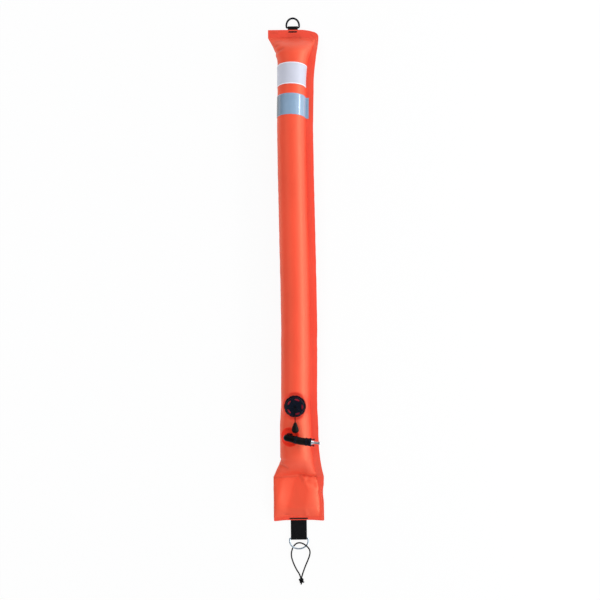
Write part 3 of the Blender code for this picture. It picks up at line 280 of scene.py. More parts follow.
# Valleys in the slack foot: route in X and from the hem, depth, and reach to the left and to the right
VALLEYS = (
    (((0.0100, 0.1120), (0.0000, 0.1075), (-0.0090, 0.1005), (-0.0140, 0.0870), (-0.0170, 0.0710),
      (-0.0215, 0.0540), (-0.0275, 0.0370), (-0.0310, 0.0130)), 0.0066, 0.0300, 0.0420),
    (((0.0060, 0.1122), (0.0170, 0.1118), (0.0420, 0.1118), (0.0520, 0.1120)),
     0.0034, 0.0110, 0.0075),
    (((0.0150, 0.1020), (0.0290, 0.0940), (0.0490, 0.0865)), 0.0022, 0.0100, 0.0200),
)
# How round a valley's line is, the share of its depth below which it fades out, and where it stops in X
VALLEY_ROUND = 0.0014
VALLEY_TAIL = 0.12
VALLEY_STOP = (0.036, 0.050)
# Swells: middle in X and from the hem, reach along X and along the tube, height
SWELLS = (
    (-0.0540, 0.0640, 0.0170, 0.0480, 0.0050),
    (0.0180, 0.0560, 0.0260, 0.0330, 0.0010),
    (0.0300, 0.1020, 0.0130, 0.0060, 0.0016),
)
# Where the foot's crease and the hem lie along the tube, against straight: in X, crease, hem
WANDER = (
    (-0.0630, -0.0045, -0.0024), (-0.0300, -0.0004, -0.0002), (0.0080, 0.0013, 0.0),
    (0.0280, -0.0036, -0.0002), (0.0630, -0.0050, -0.0024),
)
# Small steps on the outline: side, place from the hem, reach, depth
NOTCHES = (
    ("left", 1.1530, 0.0035, 0.0014),
    ("left", 1.1440, 0.0036, -0.0010),
    ("left", 0.1575, 0.0036, 0.0018),
    ("left", 0.1440, 0.0040, 0.0008),
    ("right", 0.0680, 0.0170, 0.0024),
    ("right", 0.1180, 0.0100, -0.0006),
)

# Grain of the finishes
THREAD_NOISE = 900.0
BRUSH_NOISE = 6000.0
YARN_WIDTH = 0.0009
YARN_STEP = 0.0022

# Points of a plate that are closer than this are one
SAME_PLACE = 0.000002

# Camera and floor
CAMERA_OVER = (0.00885, -0.0419)
CAMERA_TURN = math.radians(-0.694)
FLOOR_HALF = 8
FLOOR_Z = -0.0004
FLOOR_GLOW = 0.93


# Settings that a user would change


class BuoyFabric(bpy.types.PropertyGroup):
    colour: FloatVectorProperty(
        name="Fabric", description="Colour of the coated nylon", subtype="COLOR", size=3, min=0, max=1,
        default=(0.97, 0.078, 0.038),
    )
    welded: FloatVectorProperty(
        name="Welded fabric", description="Colour where two layers are welded", subtype="COLOR", size=3,
        min=0, max=1, default=(0.90, 0.066, 0.040),
    )
    # Colour of a deeper red disc round the dump valve
    pressed: FloatVectorProperty(
        name="Pressed fabric", description="Colour round the dump valve, and of the inflator's disc",
        subtype="COLOR", size=3, min=0, max=1, default=(0.97, 0.054, 0.030),
    )
    patch: FloatVectorProperty(
        name="Patch", description="Colour of the disc round the inflator", subtype="COLOR", size=3,
        min=0, max=1, default=(1.0, 0.036, 0.014),
    )
    roughness: FloatProperty(
        name="Roughness", description="Roughness of the coating", subtype="FACTOR", min=0, max=1,
        default=0.45,
    )
    weave: FloatProperty(
        name="Weave", description="Distance between two threads", subtype="DISTANCE", unit="LENGTH",
        min=0.0001, max=0.01, default=0.0007, precision=5,
    )
    fold_depth: FloatProperty(
        name="Fold depth", description="How deep the folds are, against the usual", min=0, max=3, default=1.0,
    )
    pucker: FloatProperty(
        name="Pucker", description="Height of the ripples along the weld", subtype="DISTANCE", unit="LENGTH",
        min=0, max=0.003, default=0.0005, precision=5,
    )


class BuoyBands(bpy.types.PropertyGroup):
    panel: FloatVectorProperty(
        name="Panel", description="Colour of the white panel", subtype="COLOR", size=3, min=0, max=1,
        default=(0.62, 0.635, 0.73),
    )
    tape: FloatVectorProperty(
        name="Tape", description="Colour of the reflective tape", subtype="COLOR", size=3, min=0, max=1,
        default=(0.28, 0.42, 0.59),
    )
    border: FloatProperty(
        name="Border", description="Width of the welded border", subtype="DISTANCE", unit="LENGTH",
        min=0, max=0.01, default=0.0022, precision=5,
    )


class BuoyTrim(bpy.types.PropertyGroup):
    webbing: FloatVectorProperty(
        name="Webbing", description="Colour of the webbing", subtype="COLOR", size=3, min=0, max=1,
        default=(0.005, 0.005, 0.0055),
    )
    rib: FloatProperty(
        name="Webbing rib", description="Distance between two ribs of the webbing", subtype="DISTANCE",
        unit="LENGTH", min=0.0003, max=0.01, default=0.0011, precision=5,
    )
    stitch: FloatProperty(
        name="Stitch", description="Distance between two stitches of a bar tack", subtype="DISTANCE",
        unit="LENGTH", min=0.0003, max=0.01, default=0.0007, precision=5,
    )
    cord: FloatVectorProperty(
        name="Cords", description="Colour of the elastic loop and the pull cord", subtype="COLOR", size=3,
        min=0, max=1, default=(0.005, 0.005, 0.0055),
    )


class BuoyHardware(bpy.types.PropertyGroup):
    plastic: FloatVectorProperty(
        name="Plastic", description="Colour of the valve plastic", subtype="COLOR", size=3, min=0, max=1,
        default=(0.004, 0.007, 0.016),
    )
    rubber: FloatVectorProperty(
        name="Rubber", description="Colour of the hose", subtype="COLOR", size=3, min=0, max=1,
        default=(0.005, 0.005, 0.0055),
    )
    diaphragm: FloatVectorProperty(
        name="Diaphragm", description="Colour of the dump valve's disc", subtype="COLOR", size=3,
        min=0, max=1, default=(0.95, 0.030, 0.075),
    )
    steel: FloatVectorProperty(
        name="Steel", description="Colour of the bright steel", subtype="COLOR", size=3, min=0, max=1,
        default=(0.72, 0.74, 0.77),
    )
    grips: IntProperty(name="Grips", description="Scallops round the dump valve", min=4, max=40, default=10)
    ribs: IntProperty(name="Ribs", description="Fine ribs round the dump cap", min=12, max=200, default=72)


class BuoyStage(bpy.types.PropertyGroup):
    distance: FloatProperty(
        name="Camera height", description="Height of the camera over the floor", subtype="DISTANCE",
        unit="LENGTH", min=0.5, max=10, default=1.735,
    )
    lens: FloatProperty(
        name="Lens", description="Focal length in millimetres", min=10, max=200, default=41.755,
    )
    key: FloatProperty(
        name="Key lamp", description="Power of the low, sharp-edged lamp at the right", subtype="POWER",
        unit="POWER", min=0, max=500, default=11,
    )
    fill: FloatProperty(
        name="Fill lamp", description="Power of the large lamp at the left", subtype="POWER", unit="POWER",
        min=0, max=500, default=25,
    )
    ambient: FloatProperty(name="Ambient", description="Strength of the world", min=0, max=5, default=0.66)


SETTINGS = {
    "buoy_fabric": BuoyFabric, "buoy_bands": BuoyBands, "buoy_trim": BuoyTrim, "buoy_hardware": BuoyHardware,
    "buoy_stage": BuoyStage,
}


# Small sums


def mix(a, b, t):
    return a + (b - a) * t


def ease(value, start, end):
    """0 before start, 1 after end, and smooth in between."""
    t = min(max((value - start) / (end - start), 0.0), 1.0)
    return t * t * (3 - 2 * t)


def rise(value, start, end):
    """0 before start, then a quarter wave to 1 at end."""
    t = min(max((value - start) / (end - start), 0.0), 1.0)
    return math.sin(t * math.pi / 2)


def spread(start, end, count):
    return [mix(start, end, i / (count - 1)) for i in range(count)]


def bell(value):
    return math.exp(-value * value)


def turns(count):
    """Angles at even steps round a circle."""
    return spread(0, 2 * math.pi, count + 1)[:-1]


def circle(radius, count):
    return [(radius * math.cos(a), radius * math.sin(a)) for a in turns(count)]


def circle_at(matrix, radius, count, height=0):
    """Points round a matrix's local Z."""
    return [matrix @ Vector((x, y, height)) for x, y in circle(radius, count)]


def reach_along(points):
    """How far along its route each point lies."""
    reach = [0.0]
    for a, b in zip(points, points[1:]):
        reach.append(reach[-1] + (b - a).length)
    return reach


def smooth_route(route, count):
    """Points at even steps along a smooth curve through the route's own points."""
    knots = [Vector(place) for place in route]
    knots = [2 * knots[0] - knots[1], *knots, 2 * knots[-1] - knots[-2]]
    fine = []
    for a, b, c, d in zip(knots, knots[1:], knots[2:], knots[3:]):
        for i in range(12):
            t = i / 12
            square = 2 * a - 5 * b + 4 * c - d
            cube = 3 * b - a - 3 * c + d
            fine.append(b + (c - a) * (t / 2) + square * (t**2 / 2) + cube * (t**3 / 2))
    fine.append(knots[-2])
    reach = reach_along(fine)
    points = []
    at = 0
    for wanted in spread(0.0, reach[-1], count):
        while at < len(fine) - 2 and reach[at + 1] < wanted:
            at += 1
        share = (wanted - reach[at]) / (reach[at + 1] - reach[at])
        points.append(fine[at].lerp(fine[at + 1], min(max(share, 0.0), 1.0)))
    return points


# Making meshes


def new_object(name, mesh, material=None):
    obj = bpy.data.objects.new(name, mesh)
    bpy.context.scene.collection.objects.link(obj)
    if material is not None:
        mesh.materials.clear()
        mesh.materials.append(material)
    return obj


def claim(piece, node, body="buoy"):
    """Gives a piece the place of a frame node and its body."""
    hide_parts(node)
    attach(piece, body)


def smooth_by_angle(mesh, degrees=40):
    mesh.shade_smooth()
    mesh.set_sharp_from_angle(angle=math.radians(degrees))


def zip_end(shape, ring, fold):
    """Closes a flat end between its upper edge, up to the fold, and its lower edge after it."""
    upper, lower = ring[fold::-1], ring[fold:]
    faces = []
    i = j = 0
    while i < len(upper) - 1 or j < len(lower) - 1:
        take = j == len(lower) - 1 or (i < len(upper) - 1 and upper[i + 1].co.x < lower[j + 1].co.x)
        corners = [upper[i], lower[j], upper[i + 1] if take else lower[j + 1]]
        i, j = i + take, j + (not take)
        if len(set(corners)) == 3:
            faces.append(shape.faces.new(corners))
    return faces


def lattice(name, rows, material, across, along, looped=False, values=None, angle=40, fold=None):
    """A closed skin over rings of points. The last ring meets the first where looped. across and along are
    the two parts of its UV map, in metres, one longer where they wrap."""
    count = len(rows[0])
    shape = bmesh.new()
    layer = shape.loops.layers.uv.new("cloth")
    made = [[shape.verts.new(point) for point in row] for row in rows]
    for i in range(len(rows) if looped else len(rows) - 1):
        k = (i + 1) % len(rows)
        for j in range(count):
            m = (j + 1) % count
            face = shape.faces.new((made[i][j], made[i][m], made[k][m], made[k][j]))
            marks = ((across[j], along[i]), (across[j + 1], along[i]), (across[j + 1], along[i + 1]),
                     (across[j], along[i + 1]))
            for loop, mark in zip(face.loops, marks):
                loop[layer].uv = mark
    if not looped:
        for row, at in ((made[0], along[0]), (made[-1], along[len(rows) - 1])):
            if fold is not None:
                for face in zip_end(shape, row, fold):
                    for loop in face.loops:
                        loop[layer].uv = (across[row.index(loop.vert)], at)
                continue
            face = shape.faces.new(row)
            for loop, mark in zip(face.loops, across):
                loop[layer].uv = (mark, at)
    bmesh.ops.recalc_face_normals(shape, faces=shape.faces)
    mesh = bpy.data.meshes.new(name)
    shape.to_mesh(mesh)
    shape.free()
    smooth_by_angle(mesh, angle)
    for key, numbers in (values or {}).items():
        mesh.attributes.new(key, "FLOAT", "POINT").data.foreach_set("value", numbers)
    return new_object(name, mesh, material)


def around(radius, steps):
    return [2 * math.pi * radius * i / steps for i in range(steps + 1)]


def lathe(name, profile, material, matrix, steps=64, looped=False):
    """A turned piece round local Z, from a profile of (radius, height)."""
    rows = [circle_at(matrix, radius, steps, height) for radius, height in profile]
    along = reach_along([Vector(point) for point in (*profile, profile[0])])
    widest = max(radius for radius, _ in profile)
    return lattice(name, rows, material, around(widest, steps), along, looped)


def hoop(name, radii, ends, bevel, material, matrix, steps=72):
    """A turned ring with rounded corners, from its two radii and its two ends."""
    (inside, outside), (low, high) = radii, ends
    profile = ((inside, low), (outside, low), (outside, high), (inside, high))
    return lathe(name, rounded(profile, bevel), material, matrix, steps, True)


def rounded(profile, radius, steps=3):
    """A closed profile with its corners rounded."""
    points = [Vector(point) for point in profile]
    made = []
    for i, corner in enumerate(points):
        before, after = points[i - 1], points[(i + 1) % len(points)]
        reach = min(radius, (before - corner).length * 0.45, (after - corner).length * 0.45)
        start = corner + (before - corner).normalized() * reach
        end = corner + (after - corner).normalized() * reach
        for step in range(steps + 1):
            t = step / steps
            made.append(tuple(start * (1 - t) ** 2 + corner * (2 * t * (1 - t)) + end * t**2))
    return made


def frames_along(points):
    """A matrix at each point, with local Z along the route and as little twist as possible."""
    made = []
    side = None
    for i, point in enumerate(points):
        ahead = (points[min(i + 1, len(points) - 1)] - points[max(i - 1, 0)]).normalized()
        if side is None:
            side = ahead.orthogonal().normalized()
        side = (side - ahead * side.dot(ahead)).normalized()
        up = ahead.cross(side)
        matrix = Matrix((side, up, ahead)).transposed().to_4x4()
        matrix.translation = point
        made.append(matrix)
    return made


def tube(name, points, radius, material, sides=16, rounded_ends=False):
    """A round tube along these points. Its radius is a number, or one for each point."""
    radii = radius if isinstance(radius, list) else [radius] * len(points)
    stops = list(zip(frames_along(points), radii))
    if rounded_ends:
        first, last = stops[0], stops[-1]
        cap = [(math.sin(a), math.cos(a)) for a in spread(0.15, math.pi / 2, 6)[:-1]]
        before = [
            (first[0] @ Matrix.Translation((0, 0, -high * first[1])), wide * first[1]) for wide, high in cap
        ]
        after = [
            (last[0] @ Matrix.Translation((0, 0, high * last[1])), wide * last[1]) for wide, high in cap[::-1]
        ]
        stops = [*before, *stops, *after]
    rows = [circle_at(matrix, size, sides) for matrix, size in stops]
    along = reach_along([matrix.translation for matrix, _ in stops])
    return lattice(name, rows, material, around(max(radii), sides), along)


def plate(name, outlines, foot, top, bevel, material, matrix):
    """A flat plate with rounded edges, from an outline and those of its holes."""
    curve = bpy.data.curves.new(name, "CURVE")
    curve.dimensions = "2D"
    curve.fill_mode = "BOTH"
    curve.extrude = (top - foot) / 2 - bevel
    curve.bevel_depth = bevel
    curve.bevel_resolution = 2
    curve.offset = -bevel
    for outline in outlines:
        spline = curve.splines.new("POLY")
        spline.points.add(len(outline) - 1)
        for point, (x, y) in zip(spline.points, outline):
            point.co = (x, y, 0, 1)
        spline.use_cyclic_u = True
    flat = new_object(name + "_outline", curve)
    graph = bpy.context.evaluated_depsgraph_get()
    mesh = bpy.data.meshes.new_from_object(flat.evaluated_get(graph))
    bpy.data.objects.remove(flat)
    mesh.transform(matrix @ Matrix.Translation((0, 0, (foot + top) / 2)))
    shape = bmesh.new()
    shape.from_mesh(mesh)
    bmesh.ops.remove_doubles(shape, verts=shape.verts, dist=SAME_PLACE)
    bmesh.ops.recalc_face_normals(shape, faces=shape.faces)
    shape.to_mesh(mesh)
    shape.free()
    smooth_by_angle(mesh)
    made = new_object(name, mesh, material)
    made.modifiers.new("even", "WEIGHTED_NORMAL").keep_sharp = True
    return made


def joined(name, pieces):
    """One object from several, in the first one's place and with all their materials."""
    pieces = list(pieces)
    graph = bpy.context.evaluated_depsgraph_get()
    shape = bmesh.new()
    materials = []
    for piece in pieces:
        mesh = bpy.data.meshes.new_from_object(piece.evaluated_get(graph))
        offset = []
        for material in mesh.materials:
            if material not in materials:
                materials.append(material)
            offset.append(materials.index(material))
        start = len(shape.faces)
        shape.from_mesh(mesh)
        shape.faces.ensure_lookup_table()
        for face in shape.faces[start:]:
            face.material_index = offset[min(face.material_index, len(offset) - 1)] if offset else 0
    merged = bpy.data.meshes.new(name)
    shape.to_mesh(merged)
    shape.free()
    for piece in pieces:
        bpy.data.objects.remove(piece)
    for material in materials:
        merged.materials.append(material)
    return new_object(name, merged)


# Node trees


class Tree:
    """Adds nodes to a node tree and joins their sockets."""

    def __init__(self, tree):
        self.tree = tree

    def node(self, kind, inputs=None, **settings):
        made = self.tree.nodes.new(kind)
        for key, value in settings.items():
            setattr(made, key, value)
        for key, value in (inputs or {}).items():
            self.feed(made.inputs[key], value)
        return made

    def feed(self, socket, value):
        if isinstance(value, bpy.types.NodeSocket):
            self.tree.links.new(value, socket)
        else:
            socket.default_value = value

    def maths(self, operation, *values):
        return self.node("ShaderNodeMath", dict(enumerate(values)), operation=operation).outputs[0]

    def times(self, *values):
        return self.maths("MULTIPLY", *values)

    def plus(self, *values):
        return self.maths("ADD", *values)

    def less(self, *values):
        return self.maths("SUBTRACT", *values)

    def per(self, *values):
        return self.maths("DIVIDE", *values)

    def most(self, first, *others):
        for other in others:
            first = self.maths("MAXIMUM", first, other)
        return first

    def vector(self, operation, *values):
        return self.node("ShaderNodeVectorMath", dict(enumerate(values)), operation=operation).outputs[0]

    def scaled(self, vector, amount):
        return self.node("ShaderNodeVectorMath", {0: vector, "Scale": amount}, operation="SCALE").outputs[0]

    def grow(self, kind, inputs, **settings):
        """What a Geometry Nodes node puts out first."""
        return self.node("GeometryNode" + kind, inputs, **settings).outputs[0]

    def split(self, vector):
        return self.node("ShaderNodeSeparateXYZ", {0: vector}).outputs

    def xyz(self, **parts):
        return self.node("ShaderNodeCombineXYZ", parts).outputs[0]

    def spots(self, vector, detail, **inputs):
        """Noise: how strong it is, and its colours."""
        inputs = {"Vector": vector, "Scale": 1.0, "Detail": detail, **inputs}
        return self.node("ShaderNodeTexNoise", inputs).outputs

    def blend(self, share, first, second):
        """Colours mixed by a share."""
        return self.node("ShaderNodeMix", {0: share, 6: first, 7: second}, data_type="RGBA").outputs[2]

    def fit(self, value, low, high, to_low=0.0, to_high=1.0, smooth=True):
        """A value fitted from one range to another, and held inside it."""
        made = self.node(
            "ShaderNodeMapRange", {0: value, 1: low, 2: high, 3: to_low, 4: to_high},
            interpolation_type="SMOOTHSTEP" if smooth else "LINEAR",
        )
        return made.outputs[0]

    def line(self, value, centre, half):
        """1 on a line where a value equals its centre, falling to 0 on both sides."""
        return self.fit(self.maths("ABSOLUTE", self.less(value, centre)), 0.0, half, 1.0, 0.0)


def new_group(name, kind, inputs, outputs):
    """A node group with named sockets, and a Tree to fill it with."""
    tree = bpy.data.node_groups.new(name, kind)
    for label, socket, default in inputs:
        made = tree.interface.new_socket(label, in_out="INPUT", socket_type=socket)
        if default is not None:
            made.default_value = default
    for label, socket in outputs:
        tree.interface.new_socket(label, in_out="OUTPUT", socket_type=socket)
    entry = tree.nodes.new("NodeGroupInput").outputs
    leave = tree.nodes.new("NodeGroupOutput").inputs
    return Tree(tree), entry, leave


def shader_group(name, inputs, outputs):
    named = [(label, "NodeSocket" + kind, default) for label, kind, default in inputs]
    return new_group(name, "ShaderNodeTree", named, [(label, "NodeSocket" + kind) for label, kind in outputs])


def weave_effect():
    """Threads over and under each other."""
    tree, entry, leave = shader_group(
        "Weave", [("Vector", "Vector", None), ("Pitch", "Float", 0.0007), ("Depth", "Float", 0.00003)],
        [("Height", "Float"), ("Shade", "Float")],
    )
    x, y, _ = tree.split(tree.scaled(entry["Vector"], tree.per(math.pi, entry["Pitch"])))
    wave = tree.times(tree.maths("SINE", x), tree.maths("SINE", y))
    tree.feed(leave["Height"], tree.times(wave, entry["Depth"]))
    threads = tree.spots(tree.scaled(entry["Vector"], THREAD_NOISE), 1.0)
    tree.feed(leave["Shade"], tree.fit(threads[0], 0.3, 0.7))
    return tree.tree


def grain_effect():
    """The fine, uneven skin of a moulded or coated surface."""
    tree, entry, leave = shader_group(
        "Grain", [("Vector", "Vector", None), ("Size", "Float", 0.0006), ("Depth", "Float", 0.00002)],
        [("Height", "Float"), ("Mask", "Float")],
    )
    spots = tree.spots(tree.scaled(entry["Vector"], tree.per(1.0, entry["Size"])), 3.0)
    tree.feed(leave["Height"], tree.times(spots[0], entry["Depth"]))
    tree.feed(leave["Mask"], tree.fit(spots[0], 0.35, 0.65))
    return tree.tree


def drift_effect():
    """Slow changes of tone over a surface, and worn or dusty places."""
    tree, entry, leave = shader_group(
        "Drift", [("Vector", "Vector", None), ("Size", "Float", 0.05)], [("Tone", "Float"), ("Worn", "Float")]
    )
    place = tree.scaled(entry["Vector"], tree.per(1.0, entry["Size"]))
    slow = tree.spots(place, 2.0)
    quick = tree.spots(place, 5.0, Scale=7.0, Roughness=0.65)
    tree.feed(leave["Tone"], tree.fit(slow[0], 0.3, 0.7))
    tree.feed(leave["Worn"], tree.fit(quick[0], 0.58, 0.75))
    return tree.tree


def scuff_effect():
    """Fine scratches along one direction."""
    tree, entry, leave = shader_group(
        "Scuffs", [("Vector", "Vector", None), ("Size", "Float", 0.004), ("Depth", "Float", 0.00001)],
        [("Height", "Float"), ("Mask", "Float")],
    )
    place = tree.scaled(entry["Vector"], tree.per(1.0, entry["Size"]))
    bent = tree.spots(place, 1.0, Scale=0.6)
    long = tree.vector("MULTIPLY", tree.vector("ADD", place, tree.scaled(bent[1], 1.5)), (12.0, 1.0, 6.0))
    mask = tree.fit(tree.spots(long, 2.0)[0], 0.62, 0.72)
    tree.feed(leave["Mask"], mask)
    tree.feed(leave["Height"], tree.times(tree.times(mask, entry["Depth"]), -1.0))
    return tree.tree


def braid_effect():
    """Strands that cross each other round a cord. Its vector is metres round and along the cord."""
    tree, entry, leave = shader_group(
        "Braid", [("Vector", "Vector", None), ("Pitch", "Float", 0.0010), ("Depth", "Float", 0.00012)],
        [("Height", "Float"), ("Shade", "Float")],
    )
    x, y, _ = tree.split(tree.scaled(entry["Vector"], tree.per(math.pi, entry["Pitch"])))
    left = tree.maths("ABSOLUTE", tree.maths("SINE", tree.plus(x, y)))
    right = tree.maths("ABSOLUTE", tree.maths("SINE", tree.less(x, y)))
    strands = tree.times(left, right)
    tree.feed(leave["Height"], tree.times(strands, entry["Depth"]))
    # Painted shade: the grooves between strands come out darker
    tree.feed(leave["Shade"], tree.fit(strands, 0.0, 0.8, 0.45, 1.0))
    return tree.tree


def bead_effect():
    """Tiny glass beads in a reflective coating, with bright and dull specks."""
    tree, entry, leave = shader_group(
        "Beads", [("Vector", "Vector", None), ("Size", "Float", 0.0005), ("Depth", "Float", 0.00003)],
        [("Height", "Float"), ("Sparkle", "Float")],
    )
    place = tree.scaled(entry["Vector"], tree.per(1.0, entry["Size"]))
    cells = tree.node("ShaderNodeTexVoronoi", {"Vector": place, "Scale": 1.0})
    tree.feed(leave["Height"], tree.times(tree.fit(cells.outputs[0], 0.0, 0.6, 1.0, 0.0), entry["Depth"]))
    tree.feed(leave["Sparkle"], tree.split(cells.outputs[1])[0])
    return tree.tree


EFFECTS = {
    "Weave": weave_effect, "Grain": grain_effect, "Drift": drift_effect, "Scuffs": scuff_effect,
    "Braid": braid_effect, "Beads": bead_effect,
}


def effect(tree, name, inputs):
    """An effect's group node in this material, with its own values."""
    group = bpy.data.node_groups.get(name) or EFFECTS[name]()
    return tree.node("ShaderNodeGroup", inputs, node_tree=group).outputs


def darker(colour, share):
    return tuple(part * share for part in colour)


def shader_of(material):
    return material.node_tree.nodes["Principled BSDF"]


def surface(
    name, colour, roughness, metallic=0.0, grain=0.0006, grain_depth=0.00002, drift=0.03, tone=0.85,
    wear_and_painted_shade=None, uneven=0.08, scuffs=0.0, pattern=None, specular=0.5,
):
    """A material with drift of tone, grain and scuffs. pattern adds its own height and shade."""
    colour = tuple(colour)
    made = bpy.data.materials.new(name)
    made.use_nodes = True
    made.diffuse_color = (*colour, 1.0)
    tree, shader = Tree(made.node_tree), shader_of(made)
    place = tree.node("ShaderNodeTexCoord").outputs["Object"]
    slow = effect(tree, "Drift", {"Vector": place, "Size": drift})
    fine = effect(tree, "Grain", {"Vector": place, "Size": grain, "Depth": grain_depth})
    colours = tree.blend(slow["Tone"], (*darker(colour, tone), 1), (*colour, 1))
    height = fine["Height"]
    rough = tree.fit(fine["Mask"], 0.0, 1.0, roughness - uneven / 2, roughness + uneven / 2, smooth=False)
    if wear_and_painted_shade is not None:
        colours = tree.blend(tree.times(slow["Worn"], 0.35), colours, (*wear_and_painted_shade, 1))
    if scuffs:
        marks = effect(tree, "Scuffs", {"Vector": place, "Size": 0.006, "Depth": 0.00001})
        share = tree.times(marks["Mask"], scuffs)
        colours = tree.blend(share, colours, (*(wear_and_painted_shade or darker(colour, 1.6)), 1))
        rough = tree.plus(rough, tree.times(share, 0.25))
        height = tree.plus(height, marks["Height"])
    if pattern is not None:
        colours, rough, height = pattern(tree, colours, rough, height)
    tree.feed(shader.inputs["Base Color"], colours)
    tree.feed(shader.inputs["Roughness"], rough)
    shader.inputs["Metallic"].default_value = metallic
    shader.inputs["Specular IOR Level"].default_value = specular
    bump = tree.node("ShaderNodeBump", {"Height": height, "Distance": 1.0, "Strength": 1.0})
    tree.feed(shader.inputs["Normal"], bump.outputs[0])
    return made


def on_cloth(tree):
    return tree.node("ShaderNodeUVMap", uv_map="cloth").outputs[0]


def numbers_of(tree, name):
    return tree.node("ShaderNodeAttribute", attribute_name=name).outputs["Fac"]


def woven(pitch, depth, shade):
    """A pattern of crossed threads on the piece's own UV map."""
    def pattern(tree, colours, rough, height):
        threads = effect(tree, "Weave", {"Vector": on_cloth(tree), "Pitch": pitch, "Depth": depth})
        toned = tree.blend(tree.fit(threads["Shade"], 0, 1, 1 - shade, 0), colours, (0, 0, 0, 1))
        return toned, rough, tree.plus(height, threads["Height"])
    return pattern


def braided(pitch, depth):
    def pattern(tree, colours, rough, height):
        strands = effect(tree, "Braid", {"Vector": on_cloth(tree), "Pitch": pitch, "Depth": depth})
        # Painted shade: the strands' low places are blended towards black
        toned = tree.blend(tree.fit(strands["Shade"], 0.45, 1, 0.75, 0), colours, (0.002, 0.002, 0.002, 1))
        return toned, rough, tree.plus(height, strands["Height"])
    return pattern


def fabric_material():
    """Coated nylon: welds are darker and smoother, the fabric round the dump valve is a deeper red, shade is
    painted into the folds, and lines are embossed in the flange.
    """
    fabric = bpy.context.scene.buoy_fabric

    def pattern(tree, colours, rough, height):
        cloth = on_cloth(tree)
        threads = effect(tree, "Weave", {"Vector": cloth, "Pitch": fabric.weave, "Depth": 0.000016})
        weld = numbers_of(tree, "weld")
        flange = tree.less(numbers_of(tree, "flange"), numbers_of(tree, "line_shift"))
        _, length, _ = tree.split(cloth)
        pressed = tree.most(
            tree.line(flange, 0.30, 0.045),
            tree.line(flange, 0.52, 0.045),
            tree.line(length, HEM_WELD, 0.0009),
            tree.line(length, 0.0022, 0.0007),
            tree.line(length, BLADDER_LENGTH - TOP_WELD + 0.001, 0.0010),
            tree.line(length, BLADDER_LENGTH - 0.0032, 0.0008),
        )
        colours = tree.blend(weld, colours, (*fabric.welded, 1))
        # The pressed value turns the fabric round the dump valve a deeper red
        colours = tree.blend(numbers_of(tree, "pressed"), colours, (*fabric.pressed, 1))
        # Painted shade: the coating darkens in the folds
        crease_shade_share = tree.times(numbers_of(tree, "crease_shade"), 0.6)
        colours = tree.blend(crease_shade_share, colours, (*darker(fabric.welded, 0.74), 1))
        colours = tree.blend(tree.times(pressed, 0.55), colours, (*darker(fabric.welded, 0.78), 1))
        rough = tree.less(rough, tree.times(weld, 0.05))
        raised = tree.times(threads["Height"], tree.fit(weld, 0, 1, 1.0, 0.35, smooth=False))
        return colours, rough, tree.less(tree.plus(height, raised), tree.times(pressed, 0.00012))

    made = surface(
        "coated_nylon", fabric.colour, fabric.roughness, grain=0.0011, grain_depth=0.000012, drift=0.09,
        tone=0.93, uneven=0.07, pattern=pattern, specular=0.85,
    )
    shader_of(made).inputs["Specular Tint"].default_value = (0.50, 1.0, 0.58, 1.0)
    return made


def border_pattern(colour, width, total):
    """A welded border along both long edges of a band."""
    def pattern(tree, colours, rough, height):
        _, length, _ = tree.split(on_cloth(tree))
        inner = tree.maths("MINIMUM", length, tree.less(total, length))
        border = tree.fit(inner, width * 0.9, width * 1.1, 1.0, 0.0)
        colours = tree.blend(border, colours, (*colour, 1))
        rough = tree.less(rough, tree.times(border, 0.06))
        threads = effect(tree, "Weave", {"Vector": on_cloth(tree), "Pitch": 0.0007, "Depth": 0.000012})
        height = tree.plus(height, threads["Height"])
        return colours, rough, tree.less(height, tree.times(border, BORDER_DEPTH))
    return pattern


def panel_material():
    bands = bpy.context.scene.buoy_bands
    return surface(
        "white_coating", bands.panel, 0.42, grain=0.0012, drift=0.04, tone=0.96, uneven=0.06,
        pattern=border_pattern((0.86, 0.88, 0.95), bands.border, PANEL_WIDTH),
    )


def tape_material():
    """Glass beads under a clear film: it sparkles, and mirrors a lamp softly. Towards the tube's left fold
    its colour is painted dark as shade, and its coat fades there.
    """
    bands = bpy.context.scene.buoy_bands
    edge = border_pattern(tuple(bands.tape), bands.border * 0.6, TAPE_WIDTH)

    def pattern(tree, colours, rough, height):
        beads = effect(tree, "Beads", {"Vector": on_cloth(tree), "Size": 0.0006, "Depth": 0.00001})
        bright = tree.fit(beads["Sparkle"], 0.55, 1.0, 0.0, 0.35)
        colours = tree.blend(bright, colours, (0.42, 0.56, 0.70, 1))
        # Painted shade: the fold value darkens the tape towards the tube's left fold
        colours = tree.blend(numbers_of(tree, "fold"), colours, (0.045, 0.055, 0.070, 1))
        return edge(tree, colours, rough, tree.plus(height, beads["Height"]))

    made = surface(
        "reflective_silver", bands.tape, 0.15, metallic=0.06, grain=0.0008, grain_depth=0.000004,
        drift=0.03, tone=0.92, uneven=0.04, pattern=pattern, specular=0.6,
    )
    tree, coat = Tree(made.node_tree), shader_of(made).inputs
    tree.feed(coat["Coat Weight"], tree.fit(numbers_of(tree, "fold"), 0.45, 0.95, 1.0, 0.0))
    coat["Coat Roughness"].default_value = 0.08
    return made


def brushed(tree, colours, rough, height):
    """Lathe marks round a turned piece, or draw marks along a wire."""
    _, length, _ = tree.split(on_cloth(tree))
    marks = {"Scale": 1.0, "Detail": 3.0, "W": tree.times(length, BRUSH_NOISE)}
    rings = tree.node("ShaderNodeTexNoise", marks, noise_dimensions="1D").outputs[0]
    rough = tree.plus(rough, tree.fit(rings, 0.3, 0.7, -0.04, 0.06))
    return colours, rough, tree.plus(height, tree.times(rings, 0.000004))


